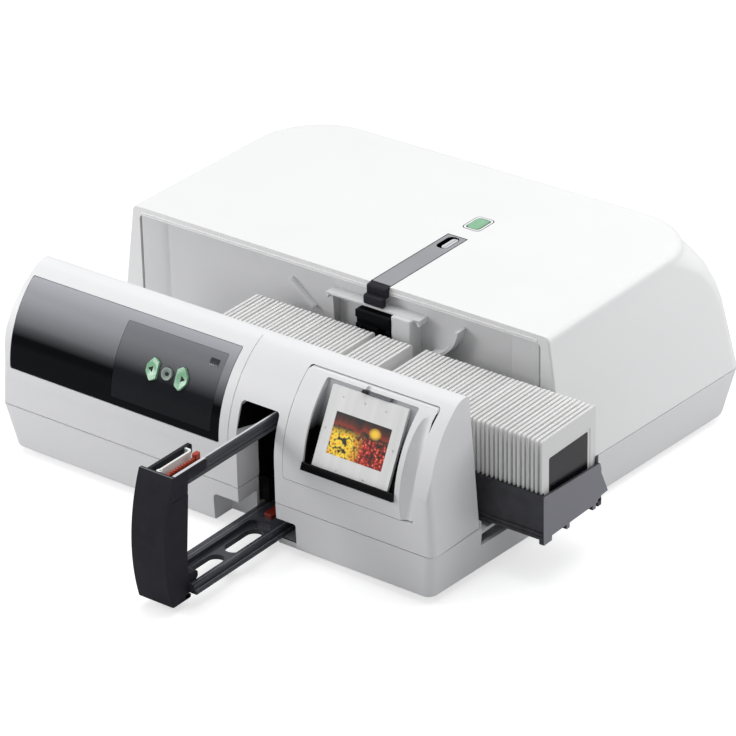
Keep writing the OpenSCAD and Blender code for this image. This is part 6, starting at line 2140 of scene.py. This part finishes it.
# ---------------------------------------------------------------- magazine


@dataclass(frozen=True)
class Magazine(Assembly):
    """The straight magazine: a combed tray, its rack, and the framed slides in three runs."""

    body: str = "magazine"
    x0: float = -46.4625
    x1: float = 187.9375
    y0: float = 49.8
    y1: float = 102.8
    z0: float = 30.0
    z1: float = 56.2
    wall: float = 1.2
    end: float = 1.6
    slots_x: float = -44.2625
    pitch: float = 2.875
    slots: int = 80
    slide_y: float = 51.3
    slide_z: float = 37.5
    slide: float = 50.0
    thick: float = 1.5
    window: Span = (36.0, 24.0)
    runs: tuple[tuple[str, int, int], ...] = (("left", 0, 28), ("middle", 30, 37), ("right", 41, 79))

    def tray(self) -> None:
        """Build the tray with its flared ends, flange, feet and combs."""
        piece = CASE.block((self.x0, self.y0, self.z0), (self.x1 - 0.22, self.y1, self.z1),
            name="tray_body")
        for near in (self.x0, self.x1 - self.end - 0.22):
            wedge = CASE.block((near, self.y1 - 5, self.z0 + 2.4), (near + self.end, 109.4, self.z1))
            CASE.shift(wedge, lambda p: p.y > 109 and p.z > 50, (0, 98.4 - 109.4, 0))
            CASE.shift(wedge, lambda p: p.y > 109 and p.z < 40, (0, 0, 0.6))
            CASE.fuse(piece, wedge)
        flange = CASE.block((self.x0, self.y0 - 0.8, self.z0),
            (self.x1 - 0.22, self.y0 + 0.5, self.z0 + 4))
        line = CASE.block((self.x0 - 1, self.y0 - 2, self.z0 + 1.8),
            (self.x1 + 1, self.y0 - 0.45, self.z0 + 2.3))
        CASE.carve(flange, line)
        CASE.fuse(piece, flange)
        CASE.cut(piece, ((self.x0 + self.end, self.y0 + self.wall, self.slide_z),
            (self.x1 - self.end, self.y1 - self.wall, self.z1 + 2)),
            ((self.x0 + 2.2, self.y0 + 6, self.z0 - 1), (self.x1 - 2.2, self.y1 - 6, self.slide_z - 3)))
        CASE.carve(piece, *self.end_cuts())
        CASE.soften(piece, 0.3, 2)
        fin = CASE.block((self.slots_x - 0.28, self.y0 + 0.3, self.slide_z - 0.5),
            (self.slots_x + 0.28, self.y0 + 3.4, self.z1 + 0.75))
        CASE.shift(fin, lambda p: p.y > self.y0 + 2 and p.z > self.z1, (0, -1.2, 0))
        far = CASE.copy(fin, (0, 0, 0))
        CASE.turn(far, Axis.Z, 180, (self.slots_x, (self.y0 + self.y1) / 2, 0))
        fins = [CASE.outward(CASE.row(f, self.slots + 1, (self.pitch, 0, 0))) for f in (fin, far)]
        feet = []
        spread = self.slots * self.pitch
        for x in (self.x0 + 1, self.x0 + spread / 3, self.x0 + 2 * spread / 3, self.x1 - 3.3):
            for y, deep in ((self.y0 - 0.6, 7.6), (self.y0 + 20.5, 3.0), (self.y0 + 45.0, 3.2)):
                feet.append(CASE.soften(CASE.block((x, y, self.z0 - 3),
                    (x + 3.0, y + deep, self.z0 + 0.5)), 0.4))
        CASE.join(piece, *fins, *feet, *self.rack())
        self.dress(piece, "tray_grey", self.body, "magazine_tray")

    def end_cuts(self) -> list[Piece]:
        """Give the tools that slope the right end's upper edge and cut its rear corner."""
        slope = CASE.block((self.x1 - 1.7, self.y0 - 8, self.z1), (self.x1 + 2, 115, self.z1 + 9))
        corner = CASE.block((self.x1 - 24, 101.6, 41.5), (self.x1 + 2, 125, 66))
        return [CASE.turn(slope, Axis.X, -3.6, (self.x1, self.y0, self.z1)),
            CASE.turn(corner, Axis.X, 18.0, (self.x1, 101.6, 53.0))]

    def rack(self) -> list[Piece]:
        """Build the rack along the foot of the rear side."""
        mod = self.pitch / math.pi
        line = self.y1 + 1.2 * mod
        plate = CASE.block((self.x0, self.y1 - 3, 27.2), (self.x1, line - mod, 31.6))
        tooth = CASE.block((self.slots_x - 0.58, line - 1.1 * mod, 27.2),
            (self.slots_x + 0.58, line + 0.62 * mod, 31.6))
        CASE.shift(tooth, lambda p: p.y > line and p.x < self.slots_x, (0.32, 0, 0))
        CASE.shift(tooth, lambda p: p.y > line and p.x > self.slots_x, (-0.32, 0, 0))
        return [plate, CASE.row(tooth, self.slots, (self.pitch, 0, 0))]

    def hooks(self) -> None:
        """Build the lighter face of the tray's right end, a painted reflection, with its hooked feet.
        """
        near = self.x1 - 0.24
        piece = CASE.block((near, self.y0 - 0.7, self.z0), (self.x1, self.y1, self.z1),
            name="tray_end_face")
        wedge = CASE.block((near, self.y1 - 5, self.z0 + 2.4), (self.x1, 109.3, self.z1))
        CASE.shift(wedge, lambda p: p.y > 109 and p.z > 50, (0, 98.4 - 109.3, 0))
        CASE.shift(wedge, lambda p: p.y > 109 and p.z < 40, (0, 0, 0.6))
        feet = [CASE.block((near, y, self.z0 - 2.9), (self.x1, y + deep, self.z0 + 1)) for y,
            deep in ((self.y0 - 0.5, 7.4), (self.y0 + 20.6, 2.8), (self.y0 + 45.1, 3.0))]
        CASE.fuse(piece, wedge, *feet)
        CASE.carve(piece, *self.end_cuts())
        self.dress(CASE.soften(piece, 0.08), "tray_end_grey", self.body, slot="tray_grey")

    def mount(self, x: float) -> Piece:
        """Build one slide mount: two leaves with a seam between them and a sill round the window.

        Args:
            x: The middle of its thickness.

        Returns:
            The mount.
        """
        half = self.thick / 2
        low = (x - half, self.slide_y, self.slide_z)
        high = (x + half, self.slide_y + self.slide, self.slide_z + self.slide)
        piece = CASE.pad(low, high, 1.6, Axis.X, steps=4)
        mid_y, mid_z = self.slide_y + self.slide / 2, self.slide_z + self.slide / 2
        wide, tall = self.window
        window = CASE.pad((x - 4, mid_y - wide / 2, mid_z - tall / 2),
            (x + 4, mid_y + wide / 2, mid_z + tall / 2), 1.0, Axis.X, steps=3)
        sill = CASE.pad((x + half - 0.35, mid_y - wide / 2 - 2, mid_z - tall / 2 - 2),
            (x + 4, mid_y + wide / 2 + 2, mid_z + tall / 2 + 2), 1.6, Axis.X, steps=3)
        CASE.carve(piece, window, sill)
        seam = CASE.block((x - 0.09, self.slide_y - 1, self.slide_z - 1),
            (x + 0.09, self.slide_y + self.slide + 1, self.slide_z + self.slide + 1))
        core = CASE.block((x - 1, self.slide_y + 0.3, self.slide_z + 0.3),
            (x + 1, self.slide_y + self.slide - 0.3, self.slide_z + self.slide - 0.3))
        CASE.carve(piece, CASE.carve(seam, core))
        return CASE.soften(piece, 0.16, 2)

    def slides(self) -> None:
        """Fill the runs with mounts that stand a little unevenly, each with its film."""
        chance = random.Random(41)
        pattern = self.mount(self.slots_x + self.pitch / 2)
        mid_y, mid_z = self.slide_y + self.slide / 2, self.slide_z + self.slide / 2
        wide, tall = self.window
        films = []
        for name, first, last in self.runs:
            mounts = []
            for i in range(first, last + 1):
                lift, slip = chance.uniform(0.0, 0.3), chance.uniform(-0.18, 0.18)
                mount = CASE.copy(pattern, (i * self.pitch, slip, lift))
                x = self.slots_x + (i + 0.5) * self.pitch
                CASE.turn(mount, Axis.X, chance.uniform(-0.12, 0.12), (x, mid_y, self.slide_z))
                mounts.append(mount)
                films.append(CASE.block((x - 0.2, mid_y - wide / 2 - 0.4 + slip,
                    mid_z - tall / 2 - 0.4 + lift), (x + 0.2, mid_y + wide / 2 + 0.4 + slip,
                    mid_z + tall / 2 + 0.4 + lift)))
            run = CASE.join(*mounts)
            run.name = f"framed_slides_{name}"
            self.dress(run, "mount_white", self.body, f"slide_mounts_{name}")
        bpy.data.meshes.remove(pattern.data)
        piece = CASE.join(*films)
        piece.name = "framed_films"
        self.dress(piece, "film", self.body, "slide_films")

    def build(self) -> None:
        """Build the magazine with its slides."""
        self.tray()
        self.hooks()
        self.slides()


# ---------------------------------------------------------------- rear and underside


@dataclass(frozen=True)
class RearFittings(Assembly):
    """The rear panel with two data ports, the power inlet and the mains rocker."""

    x0: float = -104.0
    x1: float = 90.0
    z0: float = 19.0
    z1: float = 62.0
    back: float = 276.0
    thick: float = 2.0
    ports_x: tuple[float, ...] = (-80.0, -58.0)
    port_size: Span = (12.0, 10.6)
    port_z: float = 38.0
    inlet: Span = (-28.0, 43.0)
    rocker_x: Span = (30.0, 50.0)
    rocker_z: float = 41.0

    def panel(self) -> None:
        """Build the panel with its openings and a groove near its foot."""
        piece = CASE.block((self.x0, self.back - self.thick, self.z0), (self.x1, self.back, self.z1),
            name="rear_panel_sheet")
        CASE.round_edges(piece, along(Axis.Y, lambda p: p.z > 50), 3, 6)
        wide, tall = self.port_size
        tools = [CASE.block((x, self.back - 9, self.port_z),
            (x + wide, self.back + 1, self.port_z + tall)) for x in self.ports_x]
        tools.append(CASE.rod(Axis.Y, (self.inlet[0], self.back - 9, self.inlet[1]), 12, 5.0, sides=64))
        tools.append(CASE.block((self.rocker_x[0], self.back - 9, self.rocker_z - 7),
            (self.rocker_x[1], self.back + 1, self.rocker_z + 7)))
        groove = CASE.block((self.x0 + 3, self.back - 0.4, self.z0 + 5),
            (self.x1 - 3, self.back + 1, self.z0 + 5.6))
        CASE.carve(piece, groove, *tools)
        self.dress(CASE.soften(piece, 0.35, 2), "panel_grey", "casing", "rear_panel", slot="wall_grey")

    def ports(self) -> None:
        """Build the two data ports, each with its tongue."""
        wide, tall = self.port_size
        shells, tongues = [], []
        for x in self.ports_x:
            shell = CASE.block((x + 0.1, self.back - 14, self.port_z + 0.1),
                (x + wide - 0.1, self.back + 0.4, self.port_z + tall - 0.1))
            CASE.cut(shell, ((x + 1.2, self.back - 8, self.port_z + 1.2),
                (x + wide - 1.2, self.back + 1, self.port_z + tall - 1.2)))
            shells.append(CASE.soften(shell, 0.25, 2))
            tongues.append(CASE.soften(CASE.block((x + 3, self.back - 8.2, self.port_z + 3.8),
                (x + wide - 3, self.back - 0.8, self.port_z + 6.6)), 0.2, 1))
        piece = CASE.join(*shells)
        piece.name = "data_port_shells"
        self.dress(piece, "steel", "casing", "data_ports")
        tongue = CASE.join(*tongues)
        tongue.name = "data_port_tongues"
        # The tongues' finish gives a faint painted glow.
        self.dress(tongue, "diffuser", "casing", slot="mount_white")

    def power(self) -> None:
        """Build the power inlet and the mains rocker."""
        x, z = self.inlet
        piece = CASE.rod(Axis.Y, (x, self.back - 12, z), 12.6, 4.9, sides=64, name="inlet_barrel")
        CASE.fuse(piece, CASE.block((x - 6, self.back - 14, z - 6), (x + 6, self.back - 2, z + 6)))
        CASE.carve(piece, CASE.rod(Axis.Y, (x, self.back - 9, z), 12, 2.8, sides=48))
        CASE.soften(piece, 0.3, 2)
        pin = CASE.rod(Axis.Y, (x, self.back - 9.4, z), 8, 0.9, sides=24, name="inlet_pin")
        CASE.soften(pin, 0.2)
        self.dress(piece, "matt_black", "casing", "power_inlet")
        self.dress(pin, "steel", "casing")
        low, high = self.rocker_x[0] + 0.4, self.rocker_x[1] - 0.4
        rocker = CASE.block((low, self.back - 6, self.rocker_z - 4.6),
            (high, self.back + 1.8, self.rocker_z + 4.6), name="rocker_cap")
        CASE.shift(rocker, lambda p: p.y > self.back and p.z < self.rocker_z, (0, 0, -1.7))
        CASE.shift(rocker, lambda p: p.y > self.back and p.z > self.rocker_z, (0, 0, 1.7))
        CASE.carve(rocker, CASE.rod(Axis.X, (low - 1, self.back + 24.4, self.rocker_z), high - low + 2,
            23.5, sides=180))
        self.dress(CASE.soften(rocker, 0.3, 2), "matt_black", "mains_rocker", "mains_rocker")

    def build(self) -> None:
        """Build the panel and what stands in it."""
        self.panel()
        self.ports()
        self.power()


@dataclass(frozen=True)
class Underside(Assembly):
    """The four rubber feet."""

    places: tuple[Span, ...] = FEET
    radius: float = 9.0
    high: float = 4.8

    def build(self) -> None:
        """Build the feet, with round lower edges and a ring sunk into each sole."""
        feet = []
        for x, y in self.places:
            foot = CASE.rod(Axis.Z, (x, y, 0), self.high, self.radius, sides=64)
            CASE.round_edges(foot, lambda p, run: p.z < 0.1, 1.2, 4)
            ring = CASE.rod(Axis.Z, (x, y, -1), 1.5, 5.2, sides=48)
            CASE.carve(ring, CASE.rod(Axis.Z, (x, y, -2), 4, 3.8, sides=48))
            CASE.carve(foot, ring)
            feet.append(CASE.soften(foot, 0))
        piece = CASE.join(*feet)
        piece.name = "rubber_soles"
        self.dress(piece, "foot_rubber", "casing", "rubber_feet")


@dataclass(frozen=True)
class InnerParts(Assembly):
    """The hidden parts, whose CAD nodes stay and are only given a finish."""

    kept: Pairs = (("board", "key_board viewer_lamp_board sensor_board main_board"),
        ("diffuser", "viewer_diffuser"),
        ("gear_cream", "arm_pinion arm_motor_pinion feed_pinion feed_gear"),
        ("steel", "arm_motor feed_motor guide_rods carriage_screw carriage_motor case_screws"),
        ("matt_black", "scan_gate scan_frame scan_carriage"), ("lens_barrel", "scan_lens"),
        ("lamp_metal", "scan_lamp"),)

    def build(self) -> None:
        """Give each node its finish."""
        for finish, nodes in self.kept:
            for node in nodes.split():
                for place in bpy.data.objects[node].material_slots:
                    place.material = self.finishes[finish]
                LOG.info("%s: kept, %s", node, finish)


def main() -> None:
    """Build the studio and the whole scanner."""
    logging.basicConfig(level=logging.INFO, format="%(name)s: %(message)s")
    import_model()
    finishes = build_finishes()
    Studio().build()
    form = BlockForm()
    BaseShell(finishes).build()
    for assembly in (FrontBlock, Fascia, Viewer):
        assembly(finishes, form).build()
    for assembly in (RearCover, Channel, TopControls, ChangerArm, ArmGuide, Magazine, RearFittings,
            Underside, InnerParts):
        assembly(finishes).build()


if __name__ == "__main__":
    main()
